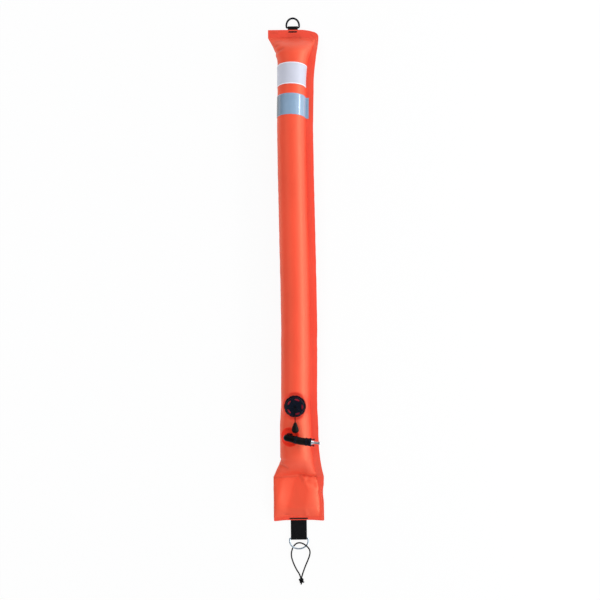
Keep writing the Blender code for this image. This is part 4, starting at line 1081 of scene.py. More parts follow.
def finishes():
    """Every material, made once."""
    trim, hardware = bpy.context.scene.buoy_trim, bpy.context.scene.buoy_hardware
    plastic, steel = hardware.plastic, hardware.steel
    dull = (0.014, 0.017, 0.024)
    fine = {"grain": 0.0008, "grain_depth": 0.000004, "drift": 0.01}
    return {
        "fabric": fabric_material(),
        "patch": surface(
            "coated_patch", bpy.context.scene.buoy_fabric.patch, 0.50, grain=0.0009, drift=0.03, tone=0.94,
            uneven=0.07, pattern=woven(0.0007, 0.000014, 0.97), specular=0.2,
        ),
        "panel": panel_material(),
        "tape": tape_material(),
        "webbing": surface(
            "black_webbing", trim.webbing, 0.66, grain=0.0004, grain_depth=0.00004, drift=0.02, tone=0.7,
            wear_and_painted_shade=(0.016, 0.016, 0.018), uneven=0.15, pattern=warp_pattern, specular=0.08,
        ),
        "thread": surface(
            "black_thread", darker(trim.webbing, 0.8), 0.55, grain=0.0003, grain_depth=0.00004, drift=0.006,
            tone=0.6, wear_and_painted_shade=dull, uneven=0.12, specular=0.3,
        ),
        "elastic": surface(
            "black_elastic", trim.cord, 0.60, grain=0.0005, drift=0.015, tone=0.75, uneven=0.12,
            wear_and_painted_shade=(0.008, 0.008, 0.009), pattern=braided(0.00107, 0.00016), specular=0.08,
        ),
        "pull": surface(
            "black_braid", trim.cord, 0.55, grain=0.0004, drift=0.01, tone=0.75, uneven=0.12,
            pattern=braided(0.00069, 0.00010), specular=0.08,
        ),
        "plastic": surface(
            "black_plastic", plastic, 0.34, grain=0.0005, grain_depth=0.000012, drift=0.02, tone=0.8,
            wear_and_painted_shade=dull, uneven=0.10, scuffs=0.25, specular=0.15,
        ),
        "elbow": surface(
            "elbow_plastic", (0.0035, 0.0038, 0.0042), 0.26, wear_and_painted_shade=(0.008, 0.009, 0.010), scuffs=0.2,
            specular=0.12, grain=0.0008, grain_depth=0.000008, drift=0.015,
        ),
        "rubber": surface(
            "black_rubber", hardware.rubber, 0.50, grain=0.0004, grain_depth=0.00004, drift=0.012, tone=0.75,
            wear_and_painted_shade=(0.012, 0.012, 0.014), uneven=0.14, scuffs=0.12, specular=0.12,
        ),
        "toggle": surface(
            "toggle_rubber", (0.005, 0.006, 0.005), 0.44, grain=0.0005, grain_depth=0.00003, drift=0.008,
            tone=0.8, wear_and_painted_shade=(0.010, 0.012, 0.010), uneven=0.10, specular=0.15,
        ),
        "red_rubber": surface("red_silicone", hardware.diaphragm, 0.38, drift=0.006),
        "steel": surface(
            "stainless_steel", steel, 0.20, metallic=1.0, tone=0.9, uneven=0.10, scuffs=0.25,
            wear_and_painted_shade=(0.42, 0.43, 0.45), pattern=brushed, **fine,
        ),
        "bright_steel": surface(
            "polished_steel", (0.64, 0.76, 0.86), 0.14, metallic=1.0, tone=0.94, scuffs=0.15,
            wear_and_painted_shade=(0.50, 0.56, 0.62), pattern=brushed, **fine,
        ),
        "spring_steel": surface(
            "spring_steel", darker(steel, 0.9), 0.28, metallic=1.0, grain=0.0006, grain_depth=0.000004,
            drift=0.01, uneven=0.1,
        ),
        "black_steel": surface(
            "black_coated_steel", (0.004, 0.006, 0.011), 0.44, grain=0.0007, grain_depth=0.00001, drift=0.012,
            tone=0.8, wear_and_painted_shade=(0.010, 0.013, 0.018), uneven=0.12, scuffs=0.15, specular=0.05,
        ),
    }


FINISHES = {}


def finish(name):
    if not FINISHES:
        FINISHES.update(finishes())
    return FINISHES[name]


def warp_pattern(tree, colours, rough, height):
    """The lengthwise yarns of the webbing, over its woven ribs: their raised places get a painted highlight.
    """
    x, y, _ = tree.split(tree.node("ShaderNodeTexCoord").outputs["Object"])
    across = tree.maths("SINE", tree.times(x, math.pi / YARN_WIDTH))
    along = tree.maths("SINE", tree.times(y, math.pi / YARN_STEP))
    yarn = tree.times(across, along)
    # Painted highlight: the raised yarns are blended lighter
    colours = tree.blend(tree.fit(yarn, -0.4, 1.0, 0.0, 0.35), colours, (0.022, 0.022, 0.026, 1))
    return colours, rough, tree.plus(height, tree.times(yarn, 0.00007))


# The fabric's shape


def tube_middle(s):
    x = TUBE_MIDDLE[0][1]
    for (start, _), (end, target) in zip(TUBE_MIDDLE, TUBE_MIDDLE[1:]):
        x = mix(x, target, ease(s, start, end))
    return x


def corner(inside, radius):
    """How far a rounded corner pulls the side in, at a distance inside the end."""
    short = max(radius - inside, 0.0)
    return radius - math.sqrt(radius**2 - short**2)


def notch(side, s):
    return sum(depth * bell((s - at) / reach) for where, at, reach, depth in NOTCHES if where == side)


def tube_law(s):
    """A section at s from the hem: left fold, seam and flange in X, then edge, top and underside in Z."""
    from_top = BLADDER_LENGTH - s
    half_flat = FLAT_WIDTH / 2
    if from_top < s:
        swell = rise(from_top, TOP_WELD, TOP_WELD + TOP_TAPER)
        narrow_left = rise(from_top, TOP_WELD, TOP_WELD + TOP_SHOULDER)
        narrow_right = ease(from_top, 0.0, TOP_FLANGE_TAPER)
        edge, top, under = TOP_WELD_Z, TOP_WELD_Z + FABRIC, TOP_WELD_Z - FABRIC
    else:
        swell = rise(s, CREASE_FROM_HEM, CREASE_FROM_HEM + BOTTOM_TAPER)
        narrow_left = min(max((s - CREASE_FROM_HEM) / SHOULDER, 0.0), 1.0)
        narrow_right = rise(s, CREASE_FROM_HEM, CREASE_FROM_HEM + FLANGE_SHOULDER)
        foot = rise(s, HEM_WELD, HEM_WELD + FOOT_TAPER)
        puff = FOOT_PUFF * math.sin(math.pi * min(s / CREASE_FROM_HEM, 1.0))
        edge = mix(HEM_Z, FOOT_EDGE_Z, foot)
        top = mix(HEM_Z + FABRIC, FOOT_HEIGHT + puff, foot)
        under = mix(HEM_Z - FABRIC, -FLAT_UNDERSIDE, foot)
    middle = tube_middle(s)
    half_tube = TUBE_WIDTH / 2 + FOOT_SPREAD * (1 - ease(s, FOOT_SPREAD_START, FOOT_SPREAD_END))
    left = mix(-half_flat, middle - half_tube, narrow_left) + notch("left", s)
    right = mix(half_flat, middle + half_tube + FLANGE_WIDTH, narrow_right) - notch("right", s)
    flange = mix(FLANGE_WIDTH, FLANGE_AT_TOP, ease(s, FLANGE_NARROWS, BLADDER_LENGTH - TOP_WELD))
    flange = mix(FLANGE_AT_FOOT, flange, ease(s, FOOT_FLANGE_START, FOOT_FLANGE_END))
    seam = right - flange
    right -= corner(from_top, TOP_CORNER_ROUND) + corner(s, HEM_CORNER_ROUND)
    left += corner(s, HEM_CORNER_ROUND) + corner(from_top, HEM_CORNER_ROUND / 2)
    edge = mix(edge, TUBE_HEIGHT / 2, swell)
    top = mix(top, TUBE_HEIGHT, swell)
    under = mix(under, -FLAT_UNDERSIDE, swell)
    return left, seam, right, edge, top, under


def wander(x, column):
    shift = WANDER[0][column]
    for before, after in zip(WANDER, WANDER[1:]):
        shift = mix(shift, after[column], ease(x, before[0], after[0]))
    return shift


def place(x, s):
    """How far along Y a point of the fabric lies: the top weld's right corner and the hem's corners hang
    lower, and the foot's crease isn't straight."""
    across = max(x - TOP_CORNER_START, 0.0) / (FLAT_WIDTH / 2 - TOP_CORNER_START)
    near_top = rise(s, BLADDER_LENGTH - TOP_WELD - TOP_TAPER, BLADDER_LENGTH)
    shift = wander(x, 1) * bell((s - CREASE_FROM_HEM) / CREASE_REACH) + wander(x, 2) * bell(s / HEM_REACH)
    return HEM_Y + s - TOP_CORNER_DROP * near_top * across**2 + shift


def seated(x, s, z, lift):
    """The height of a point on the upper side after the two ports have pressed it flat round them."""
    for seat_x, seat_s, seat_z, tilt, radius in SEATS:
        apart = math.hypot(x - seat_x, s - seat_s)
        flat = 1 - ease(apart, radius + 0.001, radius + 0.009)
        z = mix(z, seat_z + (x - seat_x) * math.tan(tilt) + lift, flat)
    return z


def valley_depth(x, s, route, depth, left_reach, right_reach):
    """How deep a valley is at a point: straight slopes from its line up to its reach on either side."""
    best, side, held = 1.0, 0.0, 0.0
    for i, ((x0, s0), (x1, s1)) in enumerate(zip(route, route[1:])):
        run, off = Vector((x1 - x0, s1 - s0)), Vector((x - x0, s - s0))
        share = min(max(off.dot(run) / run.length_squared, 0.0), 1.0)
        apart = (off - run * share).length
        if apart < best:
            best, held = apart, (i + share) / (len(route) - 1)
            side = off.x * run.y - off.y * run.x
    reach = right_reach if side < 0 else left_reach
    slope = 1 - math.sqrt(best**2 + VALLEY_ROUND**2) / reach
    soft = slope if slope > VALLEY_TAIL else VALLEY_TAIL * math.exp((slope - VALLEY_TAIL) / VALLEY_TAIL)
    inside = 1 - ease(x, *VALLEY_STOP)
    return depth * soft * inside * ease(held, 0.0, 0.12) * (1 - 0.6 * ease(held, 0.75, 1.0))


def near_folds(x, s):
    """The folds that reach this point: depth, how far into the valley, how far up its shoulders, strength."""
    for (x0, s0), (x1, s1), fold, width in FOLDS:
        run = Vector((x1 - x0, s1 - s0))
        off = Vector((x - x0, s - s0))
        share = off.dot(run) / run.length_squared
        held = min(max(share, 0.0), 1.0)
        beyond = (off - run * held).length
        if beyond > 4 * width:
            continue
        side = (off.x * run.y - off.y * run.x) / run.length
        across = (side if 0 <= share <= 1 else math.copysign(beyond, side)) / width
        shoulder = bell((across - 2.2) / 1.3) + bell((across + 2.2) / 1.3)
        past_end = max(abs(share - 0.5) - 0.5, 0) * run.length / width
        fade = math.sin(math.pi * mix(0.22, 0.78, held)) * bell(past_end)
        yield fold, bell(across), 0.18 * shoulder, fade


def relief(x, s):
    """How much the folds and swells lift or sink the upper fabric."""
    lift = sum(fold * (valley - shoulder) * fade for fold, valley, shoulder, fade in near_folds(x, s))
    if s < CREASE_FROM_HEM + 0.03:
        low = ease(CREASE_FROM_HEM + 0.016 - s, 0.0, 0.014)
        for route, deep, left_reach, right_reach in VALLEYS:
            lift -= low * valley_depth(x, s, route, deep, left_reach, right_reach)
    for at_x, at_s, wide, long, high in SWELLS:
        lift += high * bell((x - at_x) / wide) * bell((s - at_s) / long)
    return lift * bpy.context.scene.buoy_fabric.fold_depth


def painted_crease_shade(x, s):
    """How far a point lies in a fold, where shade is painted into the coating's colour."""
    return min(sum(valley * fade for fold, valley, _, fade in near_folds(x, s) if fold < 0), 1.0)


def calm(x, s):
    """0 under the bands, the webbing and the ports, and 1 where the fabric is free to fold."""
    free = ease(s, 0.004, 0.012) * ease(BLADDER_LENGTH - s, 0.010, 0.022)
    for start, width in ((PANEL_START, PANEL_WIDTH), (TAPE_START, TAPE_WIDTH)):
        free *= ease(abs(s - (start + width / 2)), 0.028, 0.034)
    for seat_x, seat_s, _, _, radius in SEATS:
        apart = math.hypot(x - seat_x, s - seat_s)
        free *= ease(apart, max(radius, PATCH_RADIUS) + 0.002, PATCH_RADIUS + 0.014)
    return free


def skin(c, s, lift=0.0):
    """A point of the fabric: c runs from -1 at the flange's edge to 0 at the seam, over the tube to 1 at
    the left fold, under it to 2 at the seam, and to 3 at the flange's edge again."""
    left, seam, right, edge, top, under = tube_law(s)
    seam = min(seam, right - LEAST_FLANGE)
    middle, half = (left + seam) / 2, (seam - left) / 2
    weld = FABRIC + lift
    if c <= 0 or c >= 2:
        out = -c if c <= 0 else c - 2
        x = mix(seam + FLANGE_FILLET * (1 - out), right + lift, out)
        z = edge + weld if c <= 0 else max(edge - weld, -lift)
        return x, z
    angle = math.pi * c
    x = middle + (half + lift) * math.cos(angle)
    if c <= 1:
        flat = FOOT_FLAT_RIGHT if c < 0.5 else 0.50
        boxy = mix(flat, 1.0, ease(s, CREASE_FROM_HEM - 0.004, CREASE_FROM_HEM + 0.020))
        z = edge + max(weld, (top + lift - edge) * max(math.sin(angle), 0.0) ** boxy)
        if top - edge > TUBE_HEIGHT / 4:
            z = seated(middle + half * math.cos(angle), s, z, lift)
        return x, z
    return x, max(edge + min(-weld, (edge - under + lift) * math.sin(angle)), -lift)


def wrinkled(c, s):
    """A point of the fabric with its folds, its ripples along the weld and its small unevenness."""
    x, z = skin(c, s)
    pucker = bpy.context.scene.buoy_fabric.pucker
    free = calm(x, s)
    out = -c if c < 0 else c - 2 if c > 2 else 0.0
    slow = noise.noise(Vector((x * 14, s * 9, 3.1)))
    quick = noise.noise(Vector((x * 60, s * 42, 7.7)))
    ripple = noise.noise(Vector((0.3, s * 38, 1.7))) + 0.6 * noise.noise(Vector((1.3, s * 95, 4.2)))
    if c <= 1:
        window = 1.0 if c < 0 else min(c / 0.04, 1.0) * ease(1 - c, 0.0, 0.10)
        z += window * free * (relief(x, s) + 0.0004 * slow + 0.00016 * quick)
        if 0 <= c < 0.3:
            z += free * pucker * ripple * bell((c - 0.06) / 0.07)
    if out > 0 or c in (0, 2):
        held = ease(s, 0.0, 0.03) * ease(BLADDER_LENGTH - s, 0.0, 0.03) * calm(0.2, s)
        z += held * (0.5 + 1.7 * out) * pucker * (ripple + 1.2 * slow)
        x += held * out * 0.0005 * ripple
    if 0.5 < c < 1.5:
        z_share = bell((c - 1) / 0.12)
        x += z_share * free * 0.0005 * (slow + ripple)
    if c > 1:
        z = max(z, 0.0)
    return x, z


def skin_stations():
    """Where the skin has its sections: close together where the shape changes."""
    marks = []
    s = 0.0
    while s < BLADDER_LENGTH:
        marks.append(s)
        s += 0.0020 if s < 0.330 or s > 1.120 else 0.0045
        if s < 0.012 or s > BLADDER_LENGTH - 0.012:
            s -= 0.0010
    return [mark for mark in marks if mark < BLADDER_LENGTH - 0.0004] + [BLADDER_LENGTH]


def build_bladder():
    flange = [-1.0, -0.93, -0.8, -0.64, -0.48, -0.32, -0.16, 0.0]
    upper = [0.012, 0.030, *spread(0.05, 0.95, 42), 0.970, 0.988]
    lower = [1.0, 1.012, 1.03, *spread(1.06, 1.94, 26), 1.97, 2.0]
    under = [2.25, 2.5, 2.75, 3.0]
    columns = [*flange, *upper, *lower, *under]
    values = {"weld": [], "pressed": [], "flange": [], "line_shift": [], "crease_shade": []}
    rows = []
    marks = skin_stations()
    for s in marks:
        row = []
        at_hem = ease(s, HEM_WELD - WELD_EDGE, HEM_WELD + WELD_EDGE)
        at_top = ease(BLADDER_LENGTH - s, TOP_WELD - WELD_EDGE, TOP_WELD + WELD_EDGE)
        for c in columns:
            x, z = wrinkled(c, s)
            row.append((x, place(x, s), z))
            out = max(-c, 0.0) if c < 1 else max(c - 2, 0.0)
            on_flange = 1.0 if out > 0 or c in (0, 2) else 0.0
            # A deeper red disc round the dump valve, fading out between the two halo radii
            halo = 1 - ease(math.hypot(x - DUMP_X, s - DUMP_FROM_HEM), *DUMP_HALO)
            values["weld"].append(max(on_flange, 1 - at_hem * at_top))
            values["pressed"].append(halo if 0 < c < 1 else 0.0)
            values["flange"].append(out)
            values["line_shift"].append(0.16 * (1 - ease(s, 0.10, 0.20)))
            values["crease_shade"].append(painted_crease_shade(x, s) if 0 < c < 1 else 0.0)
        rows.append(row)
    middle = rows[len(rows) // 2]
    across = reach_along([Vector(point) for point in (*middle, middle[0])])
    made = lattice(
        "tube_fabric", rows, finish("fabric"), across, [*marks, BLADDER_LENGTH], values=values, angle=70,
        fold=columns.index(1.0),
    )
    claim(made, "bladder")


def band(name, start, width, tail, material):
    """A strip on the front of the tube, round its left fold, and by its tail on the flange."""
    left, _, _, edge, _, _ = tube_law(start + width / 2)
    columns = []
    if tail:
        reach = (FLANGE_FILLET / 2 + tail - FLANGE_FILLET) / (FLANGE_WIDTH - FLANGE_FILLET)
        columns += [-reach, -reach * 0.97, -reach * 0.6, -reach * 0.3, 0.0]
    columns += [0.02, 0.04, *spread(0.06, 0.94, 46), 0.96, 0.98]
    back = 1.0 + math.asin((edge - BAND_BACK_Z) / (edge + FLAT_UNDERSIDE)) / math.pi
    columns += spread(1.0, back, 14)
    steps = [0.0, 0.01, *spread(0.04, 0.96, 12), 0.99, 1.0]

    def at(c, share, lift):
        bow = math.sin(math.pi * min(max(c, 0.0), 1.0))
        x = skin(c, start + width / 2, lift)[0]
        for _ in range(3):
            s = start - BAND_SLANT * (x - left) + share * width + BAND_BOW * bow
            x = skin(c, s, lift)[0]
        x, z = skin(c, s, lift)
        return Vector((x, HEM_Y + s, z))

    rows = []
    for c in columns:
        thick = 0.55 if c in (columns[0], columns[-1]) else 1.0
        over = [at(c, share, BAND_LIFT * (0.6 if share in (0.0, 1.0) else thick)) for share in steps]
        below = [at(c, share, CLOSE_LIFT) for share in reversed(steps)]
        rows.append([*over, *below])
    across = reach_along([row[5] for row in rows])
    across.append(across[-1])
    lengths = [share * width for share in steps]
    # Painted shade for the tape: the fold value rises towards the tube's left fold, where the tape's colour
    # is darkened
    wear_and_painted_shade = [ease(c, 0.60, 1.0) for c in columns for _ in range(2 * len(steps))]
    made = lattice(
        name, rows, material, [*lengths, *reversed(lengths), 0.0], across, values={"fold": wear_and_painted_shade}, angle=50,
    )
    for loop in made.data.uv_layers["cloth"].data:
        loop.uv = (loop.uv.y, loop.uv.x)
    return made


def build_bands():
    for name, node, start, width, tail, key in (
        ("welded_panel", "white_panel", PANEL_START, PANEL_WIDTH, 0.0, "panel"),
        ("silver_strip", "reflective_tape", TAPE_START, TAPE_WIDTH, TAPE_TAIL, "tape"),
    ):
        claim(band(name, start, width, tail, finish(key)), node)


def build_patch():
    """The reinforcing disc round the inflator's port, pressed onto the tube."""
    steps = 72
    rings = [NUT_HOLE, *spread(NUT_RADIUS, PATCH_RADIUS - 0.0006, 9), PATCH_RADIUS]
    drop = INFLATOR_FRAME.to_3x3() @ Vector((0, 0, -1))

    def on_tube(start, lift):
        low, high = 0.0, 0.06
        for _ in range(26):
            go = (low + high) / 2
            point = start + drop * go
            s = point.y - HEM_Y
            left, seam, _, edge, top, _ = tube_law(s)
            middle, half = (left + seam) / 2, (seam - left) / 2 + lift
            inside = 1 - ((point.x - middle) / half) ** 2
            z = edge + (top + lift - edge) * math.sqrt(max(inside, 0.0))
            z = seated(point.x, s, z, lift)
            if point.z > z or inside < 0:
                low = go
            else:
                high = go
        return start + drop * low

    lifts = [PATCH_LIFT] * (len(rings) - 1) + [PATCH_LIFT * 0.65] + [CLOSE_LIFT] * len(rings)
    rows = []
    for radius, lift in zip((*rings, *reversed(rings)), lifts):
        rows.append([on_tube(start, lift) for start in circle_at(INFLATOR_FRAME, radius, steps, 0.02)])
    along = [*rings, *reversed(rings), rings[0]]
    made = lattice("port_patch", rows, finish("patch"), around(PATCH_RADIUS, steps), along, True, angle=50)
    claim(made, "inflator_patch")


# Cords


def build_elastic_loop():
    route = smooth_route([BUNGEE_START + Vector((x, -y, z)) for x, y, z in BUNGEE_ROUTE], 160)
    loop = tube("elastic_loop", route, BUNGEE / 2, finish("elastic"), sides=20)
    knot_middle = (route[0] + route[-1]) / 2 + Vector((0, -KNOT_BELOW, 0))
    knot_middle.z = KNOT_Z
    knot_turns = []
    for t in spread(-0.55, 2 * math.pi - 0.75, 97):
        knot_turns.append(knot_middle + Vector((
            KNOT_WIDE * (math.sin(t) + 2 * math.sin(2 * t)), KNOT_LONG * (math.cos(t) - 2 * math.cos(2 * t)),
            KNOT_HIGH * math.sin(3 * t),
        )))
    pieces = [
        tube("knot_turns", knot_turns, BUNGEE / 2 + 0.0001, finish("elastic"), sides=18, rounded_ends=True)
    ]
    for name, way in KNOT_ENDS.items():
        points = smooth_route([knot_middle + Vector(step) for step in way], 14)
        pieces.append(tube(name, points, BUNGEE / 2, finish("elastic"), sides=18, rounded_ends=True))
    knot = joined("elastic_knot", pieces)
    claim(loop, "bungee_loop", "bottom_ring")
    claim(knot, "bungee_knot", "bottom_ring")


def build_pull_cord():
    way = [Vector((0, 0, DUMP_STEM_TOP + 0.0003))]
    way += [Vector((0, -along, DUMP_CAP_TOP + up)) for along, up in PULL_ROUTE]
    route = smooth_route([DUMP_FRAME @ point for point in way], 90)
    cord = tube("valve_cord", route, PULL_CORD / 2, finish("pull"), sides=16)
    end = DUMP_FRAME @ way[-1]
    steps, rows = 40, []
    outline = smooth_route([(wide, 0, long) for wide, long in TOGGLE_OUTLINE], 34)
    for wide, _, long in outline:
        row = []
        groove = sum(0.03 * bell((long - at) / 0.02) for at in TOGGLE_GROOVES)
        for a in turns(steps):
            ridge = bell((math.sin(a) - 1) / 0.035) * math.sin(math.pi * min(max(long, 0.06), 0.94))
            size = TOGGLE_RADIUS * (wide - groove * (1 - ridge)) + 0.0006 * ridge
            row.append(Vector((
                end.x + size * math.cos(a), end.y - 0.0003 - TOGGLE_LENGTH * long,
                end.z + size * TOGGLE_FLATNESS * math.sin(a),
            )))
        rows.append(row)
    along = [TOGGLE_LENGTH * long for _, _, long in outline]
    around_it = around(TOGGLE_RADIUS, steps)
    toggle = lattice("valve_toggle", rows, finish("toggle"), around_it, [*along, along[-1]])
    claim(cord, "pull_cord", "pull")
    claim(toggle, "pull_toggle", "pull")


# Webbing, stitching and rings


def grown(name, tree, settings, matrix, guide=((0, 0, 0),)):
    """The plain mesh that a Geometry Nodes tree makes with these settings, from a guide of points."""
    mesh = bpy.data.meshes.new(name + "_guide")
    mesh.from_pydata(list(guide), [(i, i + 1) for i in range(len(guide) - 1)], [])
    maker = new_object(name + "_maker", mesh)
    modifier = maker.modifiers.new("maker", "NODES")
    modifier.node_group = tree
    for item in tree.interface.items_tree:
        if item.item_type == "SOCKET" and item.in_out == "INPUT" and item.name in settings:
            modifier[item.identifier] = settings[item.name]
    graph = bpy.context.evaluated_depsgraph_get()
    made = bpy.data.meshes.new_from_object(maker.evaluated_get(graph))
    bpy.data.objects.remove(maker)
    made.transform(matrix)
    smooth_by_angle(made, 50)
    return new_object(name, made)


def geometry_group(name, inputs):
    named = [("Geometry", "NodeSocketGeometry", None)]
    named += [(label, "NodeSocket" + kind, default) for label, kind, default in inputs]
    return new_group(name, "GeometryNodeTree", named, [("Geometry", "NodeSocketGeometry")])


def close_group(tree, leave, pieces, material):
    both = tree.node("GeometryNodeJoinGeometry")
    for piece in pieces:
        tree.feed(both.inputs[0], piece)
    real = tree.grow("RealizeInstances", {"Geometry": both.outputs[0]})
    tree.feed(leave["Geometry"], tree.grow("SetMaterial", {"Geometry": real, "Material": material}))
    return tree.tree


def strap_nodes():
    """A woven strap along a path: a thin core with a rib across it at every step."""
    tree, entry, leave = geometry_group("Woven strap", [
        ("Width", "Float", 0.025), ("Thickness", "Float", 0.0012), ("Rib", "Float", 0.0011),
        ("Material", "Material", None),
    ])
    path = tree.grow("MeshToCurve", {"Mesh": entry["Geometry"]})
    fine = tree.grow("ResampleCurve", {"Curve": path, "Length": entry["Rib"]}, mode="LENGTH")
    thin = tree.times(entry["Thickness"], 0.72)
    flat = tree.grow("CurvePrimitiveQuadrilateral", {"Width": entry["Width"], "Height": thin})
    corners = {"Curve": flat, "Radius": tree.times(thin, 0.4), "Count": 3}
    soft = tree.grow("FilletCurve", corners, mode="POLY")
    core = tree.grow("CurveToMesh", {"Curve": fine, "Profile Curve": soft, "Fill Caps": True})
    half = tree.times(entry["Width"], 0.5)
    ends = {"Start": tree.xyz(X=tree.times(half, -1.0)), "End": tree.xyz(X=half)}
    line = tree.grow("CurvePrimitiveLine", ends)
    rib_radius = tree.times(entry["Rib"], 0.56)
    ring = tree.grow("CurvePrimitiveCircle", {"Resolution": 10, "Radius": rib_radius})
    rod = tree.grow("CurveToMesh", {"Curve": line, "Profile Curve": ring, "Fill Caps": True})
    squeeze = tree.per(tree.times(entry["Thickness"], 0.5), rib_radius)
    flat_rod = tree.grow("Transform", {"Geometry": rod, "Scale": tree.xyz(X=1.0, Y=squeeze, Z=1.0)})
    stops = tree.node("GeometryNodeCurveToPoints", {"Curve": fine}, mode="EVALUATED").outputs
    turned = tree.node(
        "FunctionNodeAlignRotationToVector", {"Vector": stops["Tangent"]}, axis="Z", pivot_axis="X",
    )
    ribs = tree.grow("InstanceOnPoints", {
        "Points": stops[0], "Instance": flat_rod, "Rotation": turned.outputs[0],
    })
    return close_group(tree, leave, (core, ribs), entry["Material"])


def tack_nodes():
    """A bar tack: threads side by side over a band, each a little uneven, and two threads along it."""
    tree, entry, leave = geometry_group("Bar tack", [
        ("Width", "Float", 0.020), ("Band", "Float", 0.0044), ("Stitch", "Float", 0.0007),
        ("Height", "Float", 0.0008), ("Seed", "Int", 5), ("Material", "Material", None),
    ])
    half = tree.times(entry["Width"], 0.5)
    count = tree.plus(tree.per(entry["Width"], entry["Stitch"]), 1.0)
    start, step = tree.xyz(X=tree.times(half, -1.0)), tree.xyz(X=entry["Stitch"])
    line = tree.grow("MeshLine", {"Count": count, "Start Location": start, "Offset": step})
    ball = tree.grow("MeshUVSphere", {"Segments": 8, "Rings": 8, "Radius": 0.5})
    size = tree.xyz(X=tree.times(entry["Stitch"], 1.15), Y=entry["Band"], Z=entry["Height"])
    thread = tree.grow("Transform", {"Geometry": ball, "Scale": size})
    uneven = []
    for low, high in TACK_TURN, TACK_GROWTH:
        between = {0: low, 1: high, "Seed": entry["Seed"]}
        uneven.append(tree.node("FunctionNodeRandomValue", between, data_type="FLOAT_VECTOR").outputs[0])
    tacks = tree.grow("InstanceOnPoints", {
        "Points": line, "Instance": thread, "Rotation": uneven[0], "Scale": uneven[1],
    })
    long = tree.xyz(X=entry["Width"], Y=entry["Stitch"], Z=tree.times(entry["Height"], 0.9))
    lengthwise = tree.grow("Transform", {"Geometry": ball, "Scale": long})
    pieces = [tacks]
    for share in (-0.27, 0.27):
        shift = tree.xyz(Y=tree.times(entry["Band"], share))
        pieces.append(tree.grow("Transform", {"Geometry": lengthwise, "Translation": shift}))
    return close_group(tree, leave, pieces, entry["Material"])


def rim_nodes():
    """Small upright ribs at even steps round a rim."""
    tree, entry, leave = geometry_group("Rim ribs", [
        ("Count", "Int", 72), ("Radius", "Float", 0.0224), ("Height", "Float", 0.006),
        ("Size", "Float", 0.0004), ("Material", "Material", None),
    ])
    rim = tree.grow("MeshCircle", {"Vertices": entry["Count"], "Radius": entry["Radius"]})
    ball = tree.grow("MeshUVSphere", {"Segments": 6, "Rings": 5, "Radius": 0.5})
    size = tree.xyz(X=entry["Size"], Y=entry["Size"], Z=entry["Height"])
    rib = tree.grow("Transform", {"Geometry": ball, "Scale": size})
    ribs = tree.grow("InstanceOnPoints", {"Points": rim, "Instance": rib})
    return close_group(tree, leave, (ribs,), entry["Material"])


def strap_path(free, tail, bar_z, weld_z):
    """The folded strap's middle line, in local Y and Z."""
    upper = weld_z - FABRIC - STRAP_GAP - STRAP / 2
    lower = upper - STRAP - STRAP_GAP
    bend = RING_WIRE / 2 + STRAP_GAP + STRAP / 2
    neck = free - min(0.009, free)
    path = [(-tail, lower), (neck, lower)]
    for a in spread(-math.pi / 2, math.pi / 2, 25):
        path.append((free + bend * math.cos(a), bar_z + bend * math.sin(a)))
    path += [(neck, upper), (-tail, upper)]
    return [(0, y, z) for y, z in path]


def build_webbing():
    tree = strap_nodes()
    for name, node, matrix, width, path in (
        ("top_strap", "top_webbing_loop", TOP_FRAME, 0.0250, strap_path(0.0065, 0.0180, 0.0076, TOP_WELD_Z)),
        ("bottom_strap", "bottom_webbing_loop", BOTTOM_FRAME, 0.0400,
         strap_path(0.0460, 0.0082, BOTTOM_BAR_Z, HEM_Z)),
    ):
        rib = bpy.context.scene.buoy_trim.rib
        settings = {"Width": width, "Thickness": 0.00118, "Rib": rib, "Material": finish("webbing")}
        claim(grown(name, tree, settings, matrix, path), node)


def build_stitching():
    tree = tack_nodes()
    for name, node, matrix, width, inset, weld_z in (
        ("top_tack", "top_stitching", TOP_FRAME, 0.0208, 0.0052, TOP_WELD_Z),
        ("bottom_tack", "bottom_stitching", BOTTOM_FRAME, 0.0450, 0.0038, HEM_Z),
    ):
        settings = {
            "Width": width, "Band": 0.0044, "Stitch": bpy.context.scene.buoy_trim.stitch, "Height": 0.0009,
            "Seed": 5, "Material": finish("thread"),
        }
        local = Matrix.Translation((0, -inset, weld_z + FABRIC + 0.0005))
        claim(grown(name, tree, settings, matrix @ local), node)


def ring_points(width, depth):
    """The middle line of a D-ring's wire, from the middle of its bar."""
    half, reach = (width - RING_WIRE) / 2, depth - RING_WIRE
    bend = RING_WIRE * 0.6
    quarter = spread(0, math.pi / 2, 9)
    points = [(x, 0) for x in spread(0, -half + bend, 10)[:-1]]
    points += [(-half + bend - bend * math.sin(a), bend - bend * math.cos(a)) for a in quarter]
    for a in spread(0, math.pi, 61):
        points.append((-half * math.cos(a), RING_SIDE + (reach - RING_SIDE) * math.sin(a)))
    points += [(half - bend + bend * math.cos(a), bend - bend * math.sin(a)) for a in quarter]
    points += [(x, 0) for x in spread(half - bend, 0, 10)[1:-1]]
    return [Vector((x, y, 0)) for x, y in points]


